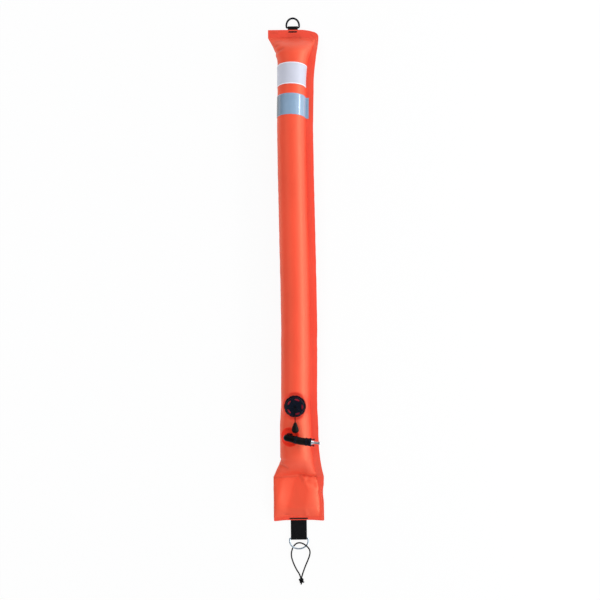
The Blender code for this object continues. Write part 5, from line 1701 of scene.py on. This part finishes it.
def build_rings():
    """Both D-rings. The upper one's wire is thicker round its arch."""
    for name, node, body, key, slot, bow, size, bar, ahead in (
        ("upper_ring", "top_d_ring", "top_ring", "black_steel", "black_steel", 1.14, (0.0356, 0.0302),
         (SEWN_X, TOP_BAR_Y, TOP_BAR_Z), (0, 0.97647, -0.21565)),
        ("lower_ring", "bottom_d_ring", "bottom_ring", "bright_steel", "steel", 1.0, (0.0500, 0.0292),
         (SEWN_X, BOTTOM_BAR_Y, BOTTOM_BAR_Z), (0, -0.99357, 0.1132)),
    ):
        matrix = Matrix.Translation(bar) @ ring_turn(ahead)
        points = ring_points(*size)
        count = len(points)
        rows = []
        for i, point in enumerate(points):
            side = (points[(i + 1) % count] - points[i - 1]).normalized().cross(Vector((0, 0, 1)))
            weld = 1 + 0.05 * bell(min(i, count - i) / 1.5)
            radius = RING_WIRE / 2 * weld * mix(1.0, bow, ease(point.y, 0.0030, 0.0060))
            rows.append([
                matrix @ (point + side * x + Vector((0, 0, z))) for x, z in circle(radius, 24)
            ])
        along = reach_along([*points, points[0]])
        made = lattice(name, rows, finish(key), around(RING_WIRE / 2, 24), along, True)
        claim(made, node, body)


def ring_turn(ahead):
    """The turn that takes a ring's local +Y to this direction and keeps its bar across the buoy."""
    ahead = Vector(ahead).normalized()
    across = Vector((math.copysign(1, ahead.y), 0, 0))
    return Matrix((across, ahead, across.cross(ahead))).transposed().to_4x4()


# Dump valve


def rim_ribs(name, count, radius, height, material, matrix):
    """Fine ribs round a rim, half sunk in it."""
    settings = {
        "Count": count, "Radius": radius - 0.00005, "Height": height, "Size": 0.0007, "Material": material,
    }
    return grown(name, rim_nodes(), settings, matrix)


def build_dump_valve():
    hardware = bpy.context.scene.buoy_hardware
    plastic = finish("plastic")
    outline = []
    for a in turns(240):
        wave = math.cos(hardware.grips * (a - math.pi / hardware.grips))
        radius = DUMP_RADIUS - GRIP_DEPTH * ease(wave, 0.2, 1.0)
        outline.append((radius * math.cos(a), radius * math.sin(a)))
    holes = [outline, circle(0.0194, 96)]
    ring = plate("clamp_plate", holes, DUMP_RING_FOOT, DUMP_RING_TOP, 0.0009, plastic, DUMP_FRAME)
    ends = (DUMP_RING_TOP - 0.0004, DUMP_RING_TOP + 0.0002)
    lip = hoop("clamp_lip", (0.0229, 0.0240), ends, 0.0003, plastic, DUMP_FRAME, 96)
    claim(joined("clamp_ring", [ring, lip]), "dump_clamp_ring")

    disc = rounded(DIAPHRAGM_PROFILE, 0.0006)
    disc = lathe("valve_diaphragm", disc, finish("red_rubber"), DUMP_FRAME, 72, True)
    claim(disc, "dump_diaphragm", "dump_poppet")

    top, foot = DUMP_CAP_TOP, DUMP_CAP_FOOT
    inner = DUMP_CAP_RADIUS - DUMP_CAP_WALL
    face = DUMP_CAP_RADIUS - 0.0022
    outlines = [circle(face, 120), circle(DUMP_CORD_HOLE, 32)]
    for index in range(CAP_SLOTS):
        slot = []
        for a in turns(48):
            off = 0.0062 * math.copysign(abs(math.sin(a)) ** 0.8, math.sin(a))
            out = SLOT_CIRCLE + 0.0021 * math.copysign(abs(math.cos(a)) ** 0.8, math.cos(a))
            bearing = 2 * math.pi * index / CAP_SLOTS + off / SLOT_CIRCLE
            slot.append((out * math.cos(bearing), out * math.sin(bearing)))
        outlines.append(slot)
    pieces = [plate("cap_face", outlines, top - DUMP_CAP_WALL, top, 0.0003, plastic, DUMP_FRAME)]
    rim = [
        (inner, foot), (DUMP_CAP_RADIUS, foot), (DUMP_CAP_RADIUS, top - 0.0018),
        (DUMP_CAP_RADIUS - 0.0018, top), (face - 0.0004, top), (face - 0.0004, top - DUMP_CAP_WALL),
        (inner, top - DUMP_CAP_WALL),
    ]
    pieces.append(lathe("cap_rim", rounded(rim, 0.0006), plastic, DUMP_FRAME, 96, True))
    for inside, out, high in ((0.0036, 0.0049, 0.0004), (0.0118, 0.0128, 0.0003)):
        ends = (top - 0.0004, top + high)
        pieces.append(hoop(f"cap_ring_{inside}", (inside, out), ends, 0.0003, plastic, DUMP_FRAME, 64))
    sizes = [0.0008 * (0.55 + 0.45 * math.sin(math.pi * i / 13)) for i in range(14)]
    for index in range(CAP_SLOTS):
        turn = DUMP_FRAME @ Matrix.Rotation(2 * math.pi * (index + 0.5) / CAP_SLOTS, 4, "Z")
        spine = [turn @ Vector((r, 0, top - 0.0001)) for r in spread(0.0052, 0.0192, 14)]
        pieces.append(tube(f"cap_spoke_{index}", spine, sizes, plastic, 12, rounded_ends=True))
    middle = DUMP_FRAME @ Matrix.Translation((0, 0, foot + 0.0034))
    pieces.append(rim_ribs("cap_ribs", hardware.ribs, DUMP_CAP_RADIUS, 0.0058, plastic, middle))
    claim(joined("valve_cap", pieces), "dump_cap")


# Inflator


def heading(share):
    yaw, pitch = ELBOW_YAW + share * HOSE_TURN, -share * HOSE_DROOP
    return Vector((math.cos(yaw) * math.cos(pitch), math.sin(yaw) * math.cos(pitch), math.sin(pitch)))


def hose_route():
    """The hose's middle line in the port's frame: straight, one even bend, straight again."""
    bend, steps = HOSE_LENGTH - 2 * HOSE_STRAIGHT, 8
    at = Vector((0, 0, ELBOW_AXIS)) + heading(0) * ELBOW_ARM
    points = [at + heading(0) * 0.0003, at + heading(0) * HOSE_STRAIGHT]
    for i in range(steps):
        points.append(points[-1] + heading((i + 0.5) / steps) * bend / steps)
    points.append(points[-1] + heading(1) * (HOSE_STRAIGHT - 0.0003))
    return points, points[-1] + heading(1) * 0.0003


def facing(direction):
    return Euler((0, math.acos(direction.z), math.atan2(direction.y, direction.x))).to_matrix().to_4x4()


def elbow_frames():
    arm = INFLATOR_FRAME @ Matrix.Translation((0, 0, ELBOW_AXIS)) @ facing(heading(0))
    _, end = hose_route()
    mouth = INFLATOR_FRAME @ Matrix.Translation(end) @ facing(heading(1))
    return arm, mouth


def build_nut():
    corners = circle(NUT_RADIUS, 6)
    outlines = [rounded(corners, 0.0010, 4), circle(NUT_HOLE, 48)]
    top = NUT_FOOT + NUT_HEIGHT
    nut = plate("port_nut", outlines, NUT_FOOT, top, 0.0006, finish("plastic"), INFLATOR_FRAME)
    claim(nut, "inflator_nut")


def build_elbow():
    """Post, arm and heel melted into one skin, with a moulded ring at the foot and at the arm's end."""
    arm, _ = elbow_frames()
    plastic = finish("elbow")
    post = (
        (0.0004, ELBOW_FOOT), (ELBOW_POST_RADIUS - 0.0004, ELBOW_FOOT),
        (ELBOW_POST_RADIUS, ELBOW_FOOT + 0.0004), (ELBOW_POST_RADIUS, ELBOW_AXIS), (0.0004, ELBOW_AXIS),
    )
    straight = (
        (0.0004, -ELBOW_HEEL), (ELBOW_RADIUS, -ELBOW_HEEL), (ELBOW_RADIUS, ELBOW_ARM - 0.0004),
        (ELBOW_RADIUS - 0.0004, ELBOW_ARM), (0.0004, ELBOW_ARM),
    )
    heel = []
    for a in spread(0.04, math.pi - 0.04, 24):
        heel.append((max(ELBOW_RADIUS * math.sin(a), 0.0003), -ELBOW_HEEL - ELBOW_RADIUS * math.cos(a)))
    solid = joined("elbow_solid", [
        lathe("elbow_post", post, plastic, INFLATOR_FRAME),
        lathe("elbow_arm", straight, plastic, arm),
        lathe("elbow_heel", heel, plastic, arm),
    ])
    melt = solid.modifiers.new("melt", "REMESH")
    melt.mode = "VOXEL"
    melt.voxel_size = ELBOW_VOXEL
    melt.use_smooth_shade = True
    ease_out = solid.modifiers.new("ease", "SMOOTH")
    ease_out.iterations = 6
    ease_out.factor = 0.5
    body = joined("elbow_body", [solid])
    body.data.materials.clear()
    body.data.materials.append(plastic)
    body.data.shade_smooth()
    foot_radii = (ELBOW_POST_RADIUS - 0.0008, ELBOW_POST_RADIUS + 0.0003)
    foot_ends = (ELBOW_FOOT + 0.0001, ELBOW_FOOT + 0.0014)
    arm_radii = (ELBOW_RADIUS - 0.0008, ELBOW_RADIUS + 0.0004)
    arm_ends = (ELBOW_ARM - 0.0022, ELBOW_ARM - 0.0002)
    start, end = ELBOW_ARM - 0.001, ELBOW_ARM + 0.0088
    barb = ((0.0004, start), (BARB_RADIUS, start), (BARB_RADIUS, end), (0.0032, end))
    elbow = joined("swivel_elbow", [
        body,
        hoop("elbow_foot_ring", foot_radii, foot_ends, 0.0003, plastic, INFLATOR_FRAME, 64),
        hoop("elbow_arm_ring", arm_radii, arm_ends, 0.0004, plastic, arm, 64),
        lathe("elbow_barb", barb, plastic, arm, 40),
    ])
    claim(elbow, "inflator_elbow", "inflator_arm")


def clip_ring(name, matrix, foot):
    """A clamping band with a squeezed ear."""
    plastic = finish("plastic")
    inner = HOSE_RADIUS + 0.0001
    ends = (foot, foot + CLIP_WIDTH)
    pieces = [hoop(name + "_band", (inner, inner + 0.0008), ends, 0.00025, plastic, matrix)]
    for side in (-1, 1):
        ear = []
        for t in spread(0.08, 0.92, 8):
            ear.append(matrix @ Vector((-(inner + 0.0005), side * 0.0007, foot + t * CLIP_WIDTH)))
        pieces.append(tube(f"{name}_ear_{side}", ear, 0.0006, plastic, 12, rounded_ends=True))
    return joined(name, pieces)


def ridged_hose():
    """A hollow rubber hose with soft ridges at even steps."""
    points, _ = hose_route()
    stops = frames_along(smooth_route([INFLATOR_FRAME @ point for point in points], 200))
    along = reach_along([matrix.translation for matrix in stops])
    rows = []
    for matrix, at in zip(stops, along):
        ridge = HOSE_RIDGE * math.sin(2 * math.pi * at / HOSE_RIDGE_STEP)
        rows.append(circle_at(matrix, HOSE_RADIUS - 0.0002 + ridge, HOSE_SIDES))
    rows += [circle_at(matrix, HOSE_BORE, HOSE_SIDES) for matrix in reversed(stops)]
    wall = HOSE_RADIUS - HOSE_BORE
    back = [2 * along[-1] + wall - length for length in reversed(along)]
    lengths = [*along, *back, back[-1] + wall]
    return lattice("ridged_hose", rows, finish("rubber"), around(HOSE_RADIUS, HOSE_SIDES), lengths, True)


def build_hose():
    arm, mouth = elbow_frames()
    claim(ridged_hose(), "inflator_hose", "inflator_arm")
    for name, node, matrix, foot in (
        ("elbow_clip", "elbow_hose_clip", arm, ELBOW_ARM + CLIP_SET_BACK),
        ("mouth_clip", "housing_hose_clip", mouth, -CLIP_SET_BACK - CLIP_WIDTH),
    ):
        claim(clip_ring(name, matrix, foot), node, "inflator_arm")


def build_mouthpiece():
    _, mouth = elbow_frames()
    plastic = finish("plastic")
    housing = [
        (HOUSING_BORE, HOUSING_FRONT), (HOUSING_RADIUS, HOUSING_FRONT), (HOUSING_RADIUS, 0.0003),
        (BARB_RADIUS, 0.0003), (BARB_RADIUS, -BARB_LENGTH), (0.0016, -BARB_LENGTH),
        (0.0016, -BARB_LENGTH + 0.0010), (HOUSING_BORE, -BARB_LENGTH + 0.0010),
    ]
    housing = lathe("valve_housing", rounded(housing, 0.0004), plastic, mouth, 72, True)
    claim(housing, "inflator_housing", "inflator_arm")

    radii, ends = (CONE_RADIUS + 0.0004, LOCK_RADIUS), (LOCK_FOOT, LOCK_FRONT)
    pieces = [hoop("lock_band", radii, ends, 0.0005, plastic, mouth)]
    tip = LOCK_FRONT + PRONG_LENGTH
    prong = spread(LOCK_FOOT + 0.0004, tip, 30)
    sizes = [mix(PRONG_RADIUS, PRONG_TIP_RADIUS, ease(z, tip - 0.0030, tip - 0.0006)) for z in prong]
    for side in (-1, 1):
        spine = [mouth @ Vector((0, side * PRONG_CIRCLE, z)) for z in prong]
        pieces.append(tube(f"lock_prong_{side}", spine, sizes, plastic, 18, rounded_ends=True))
    middle = mouth @ Matrix.Translation((0, 0, (LOCK_FOOT + LOCK_FRONT) / 2))
    pieces.append(rim_ribs("lock_ribs", 28, LOCK_RADIUS, 0.0026, plastic, middle))
    claim(joined("lock_collar_ring", pieces), "lock_ring", "lock_collar")

    nipple = lathe("coupling_nipple", rounded(NIPPLE_PROFILE, 0.0003), finish("steel"), mouth, 72, True)
    claim(nipple, "inflator_nipple", "nipple")


def dress_hidden_nodes():
    """Better materials for the CAD pieces that stay."""
    for key, names in {
        "plastic": ("dump_body", "dump_plate", "inflator_base"),
        "rubber": ("dump_gasket", "inflator_gasket", "elbow_o_ring", "nipple_seal"),
        "spring_steel": ("dump_spring", "inflator_spring"),
    }.items():
        for name in names:
            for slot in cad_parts[name].material_slots:
                slot.link = "OBJECT"
                slot.material = finish(key)


# The stage


def add_lamp(name, long, high, power, place_at, aim):
    """A rectangular lamp, long along Y."""
    data = bpy.data.lights.new(name, "AREA")
    data.shape = "RECTANGLE"
    data.size, data.size_y = long, high
    data.energy = power
    lamp = bpy.data.objects.new(name, data)
    bpy.context.scene.collection.objects.link(lamp)
    lamp.location = place_at
    lamp.rotation_euler = (Vector(aim) - Vector(place_at)).to_track_quat("-Z", "Y").to_euler()
    return lamp


def seen_directly(tree):
    rays = tree.node("ShaderNodeLightPath").outputs
    return tree.most(rays["Is Camera Ray"], rays["Is Glossy Ray"], rays["Is Transmission Ray"])


def build_stage():
    stage = bpy.context.scene.buoy_stage
    scene = bpy.context.scene
    camera = bpy.data.cameras.new("camera")
    camera.sensor_width = 36
    camera.lens = stage.lens
    camera.clip_end = 50
    view = bpy.data.objects.new("camera", camera)
    scene.collection.objects.link(view)
    view.location = (*CAMERA_OVER, stage.distance)
    view.rotation_euler = (0, 0, CAMERA_TURN)
    scene.camera = view
    scene.view_settings.view_transform = "Standard"

    shape = bmesh.new()
    bmesh.ops.create_grid(shape, x_segments=1, y_segments=1, size=FLOOR_HALF)
    mesh = bpy.data.meshes.new("floor")
    shape.to_mesh(mesh)
    shape.free()
    mesh.transform(Matrix.Translation((0, 0, FLOOR_Z)))
    white = bpy.data.materials.new("white_floor")
    white.use_nodes = True
    tree, shader = Tree(white.node_tree), shader_of(white)
    shader.inputs["Base Color"].default_value = (0.86, 0.86, 0.86, 1)
    shader.inputs["Roughness"].default_value = 0.9
    glow = tree.node("ShaderNodeEmission", {"Strength": 1.0})
    share = tree.times(seen_directly(tree), FLOOR_GLOW)
    both = tree.node("ShaderNodeMixShader", {0: share, 1: shader.outputs[0], 2: glow.outputs[0]})
    tree.feed(white.node_tree.nodes["Material Output"].inputs[0], both.outputs[0])
    new_object("floor", mesh, white)

    world = bpy.data.worlds.new("studio")
    world.use_nodes = True
    scene.world = world
    tree = Tree(world.node_tree)
    ground = world.node_tree.nodes["Background"]
    ground.inputs["Color"].default_value = (0.93, 0.96, 1.0, 1)
    right, _, up = tree.split(tree.node("ShaderNodeTexCoord").outputs["Generated"])
    sides = tree.fit(right, -0.7, 0.9, 0.35, 1.75)
    overhead = tree.fit(up, 0.72, 0.95, stage.ambient, stage.ambient * 0.25)
    tree.feed(ground.inputs["Strength"], tree.times(sides, overhead))

    add_lamp("key", 3.2, 0.17, stage.key, (1.0, 0.05, 0.55), (0, 0.05, 0.03))
    fill = add_lamp("fill", 3.8, 1.2, stage.fill, (-1.0, 0.15, 1.6), (0, 0.15, 0.03))
    fill.visible_glossy = False


# Operators, panel and running


class BUOY_OT_stage(bpy.types.Operator):
    """Add the camera, the lamps and the floor"""

    bl_idname = "buoy.stage"
    bl_label = "Stage"
    bl_options = {"REGISTER", "UNDO"}

    def execute(self, context):
        build_stage()
        return {"FINISHED"}


class BUOY_OT_elastic_loop(bpy.types.Operator):
    """Add the elastic loop and its knot"""

    bl_idname = "buoy.elastic_loop"
    bl_label = "Elastic loop"
    bl_options = {"REGISTER", "UNDO"}

    def execute(self, context):
        build_elastic_loop()
        return {"FINISHED"}


class BUOY_OT_pull_cord(bpy.types.Operator):
    """Add the dump valve's cord and toggle"""

    bl_idname = "buoy.pull_cord"
    bl_label = "Pull cord"
    bl_options = {"REGISTER", "UNDO"}

    def execute(self, context):
        build_pull_cord()
        return {"FINISHED"}


class BUOY_OT_bladder(bpy.types.Operator):
    """Add the inflated fabric tube"""

    bl_idname = "buoy.bladder"
    bl_label = "Fabric tube"
    bl_options = {"REGISTER", "UNDO"}

    def execute(self, context):
        build_bladder()
        return {"FINISHED"}


class BUOY_OT_bands(bpy.types.Operator):
    """Add the white panel and the reflective tape"""

    bl_idname = "buoy.bands"
    bl_label = "Bands"
    bl_options = {"REGISTER", "UNDO"}

    def execute(self, context):
        build_bands()
        return {"FINISHED"}


class BUOY_OT_patch(bpy.types.Operator):
    """Add the disc round the inflator's port"""

    bl_idname = "buoy.patch"
    bl_label = "Port patch"
    bl_options = {"REGISTER", "UNDO"}

    def execute(self, context):
        build_patch()
        return {"FINISHED"}


class BUOY_OT_webbing(bpy.types.Operator):
    """Add both woven straps"""

    bl_idname = "buoy.webbing"
    bl_label = "Webbing"
    bl_options = {"REGISTER", "UNDO"}

    def execute(self, context):
        build_webbing()
        return {"FINISHED"}


class BUOY_OT_stitching(bpy.types.Operator):
    """Add both bar tacks"""

    bl_idname = "buoy.stitching"
    bl_label = "Stitching"
    bl_options = {"REGISTER", "UNDO"}

    def execute(self, context):
        build_stitching()
        return {"FINISHED"}


class BUOY_OT_rings(bpy.types.Operator):
    """Add both D-rings"""

    bl_idname = "buoy.rings"
    bl_label = "D-rings"
    bl_options = {"REGISTER", "UNDO"}

    def execute(self, context):
        build_rings()
        return {"FINISHED"}


class BUOY_OT_dump_valve(bpy.types.Operator):
    """Add the clamp ring and the cap"""

    bl_idname = "buoy.dump_valve"
    bl_label = "Dump valve"
    bl_options = {"REGISTER", "UNDO"}

    def execute(self, context):
        build_dump_valve()
        return {"FINISHED"}


class BUOY_OT_nut(bpy.types.Operator):
    """Add the nut on the inflator's port"""

    bl_idname = "buoy.nut"
    bl_label = "Port nut"
    bl_options = {"REGISTER", "UNDO"}

    def execute(self, context):
        build_nut()
        return {"FINISHED"}


class BUOY_OT_elbow(bpy.types.Operator):
    """Add the swivelling elbow"""

    bl_idname = "buoy.elbow"
    bl_label = "Elbow"
    bl_options = {"REGISTER", "UNDO"}

    def execute(self, context):
        build_elbow()
        return {"FINISHED"}


class BUOY_OT_hose(bpy.types.Operator):
    """Add the hose and its clips"""

    bl_idname = "buoy.hose"
    bl_label = "Hose"
    bl_options = {"REGISTER", "UNDO"}

    def execute(self, context):
        build_hose()
        return {"FINISHED"}


class BUOY_OT_mouthpiece(bpy.types.Operator):
    """Add the housing, the lock ring and the nipple"""

    bl_idname = "buoy.mouthpiece"
    bl_label = "Mouthpiece"
    bl_options = {"REGISTER", "UNDO"}

    def execute(self, context):
        build_mouthpiece()
        return {"FINISHED"}


class BUOY_OT_hidden(bpy.types.Operator):
    """Give the frame's own pieces their materials"""

    bl_idname = "buoy.hidden"
    bl_label = "Inner pieces"
    bl_options = {"REGISTER", "UNDO"}

    def execute(self, context):
        dress_hidden_nodes()
        return {"FINISHED"}


OPERATORS = (
    BUOY_OT_stage,
    BUOY_OT_elastic_loop,
    BUOY_OT_pull_cord,
    BUOY_OT_bladder,
    BUOY_OT_bands,
    BUOY_OT_patch,
    BUOY_OT_webbing,
    BUOY_OT_stitching,
    BUOY_OT_rings,
    BUOY_OT_dump_valve,
    BUOY_OT_nut,
    BUOY_OT_elbow,
    BUOY_OT_hose,
    BUOY_OT_mouthpiece,
    BUOY_OT_hidden,
)


class BUOY_PT_panel(bpy.types.Panel):
    """The buoy's pieces and settings"""

    bl_idname = "BUOY_PT_panel"
    bl_label = "Surface marker buoy"
    bl_space_type = "VIEW_3D"
    bl_region_type = "UI"
    bl_category = "Buoy"

    def draw(self, context):
        for made in OPERATORS:
            self.layout.operator(made.bl_idname)
        for name, group in SETTINGS.items():
            box = self.layout.box()
            for key in group.__annotations__:
                box.prop(getattr(context.scene, name), key)


def register():
    for group in SETTINGS.values():
        bpy.utils.register_class(group)
    for name, group in SETTINGS.items():
        setattr(bpy.types.Scene, name, PointerProperty(type=group))
    for made in (*OPERATORS, BUOY_PT_panel):
        bpy.utils.register_class(made)


def unregister():
    for made in reversed((*OPERATORS, BUOY_PT_panel)):
        bpy.utils.unregister_class(made)
    for name in SETTINGS:
        delattr(bpy.types.Scene, name)
    for group in reversed(list(SETTINGS.values())):
        bpy.utils.unregister_class(group)


def main():
    register()
    for made in OPERATORS:
        area, name = made.bl_idname.split(".")
        getattr(getattr(bpy.ops, area), name)()


if __name__ == "__main__":
    main()
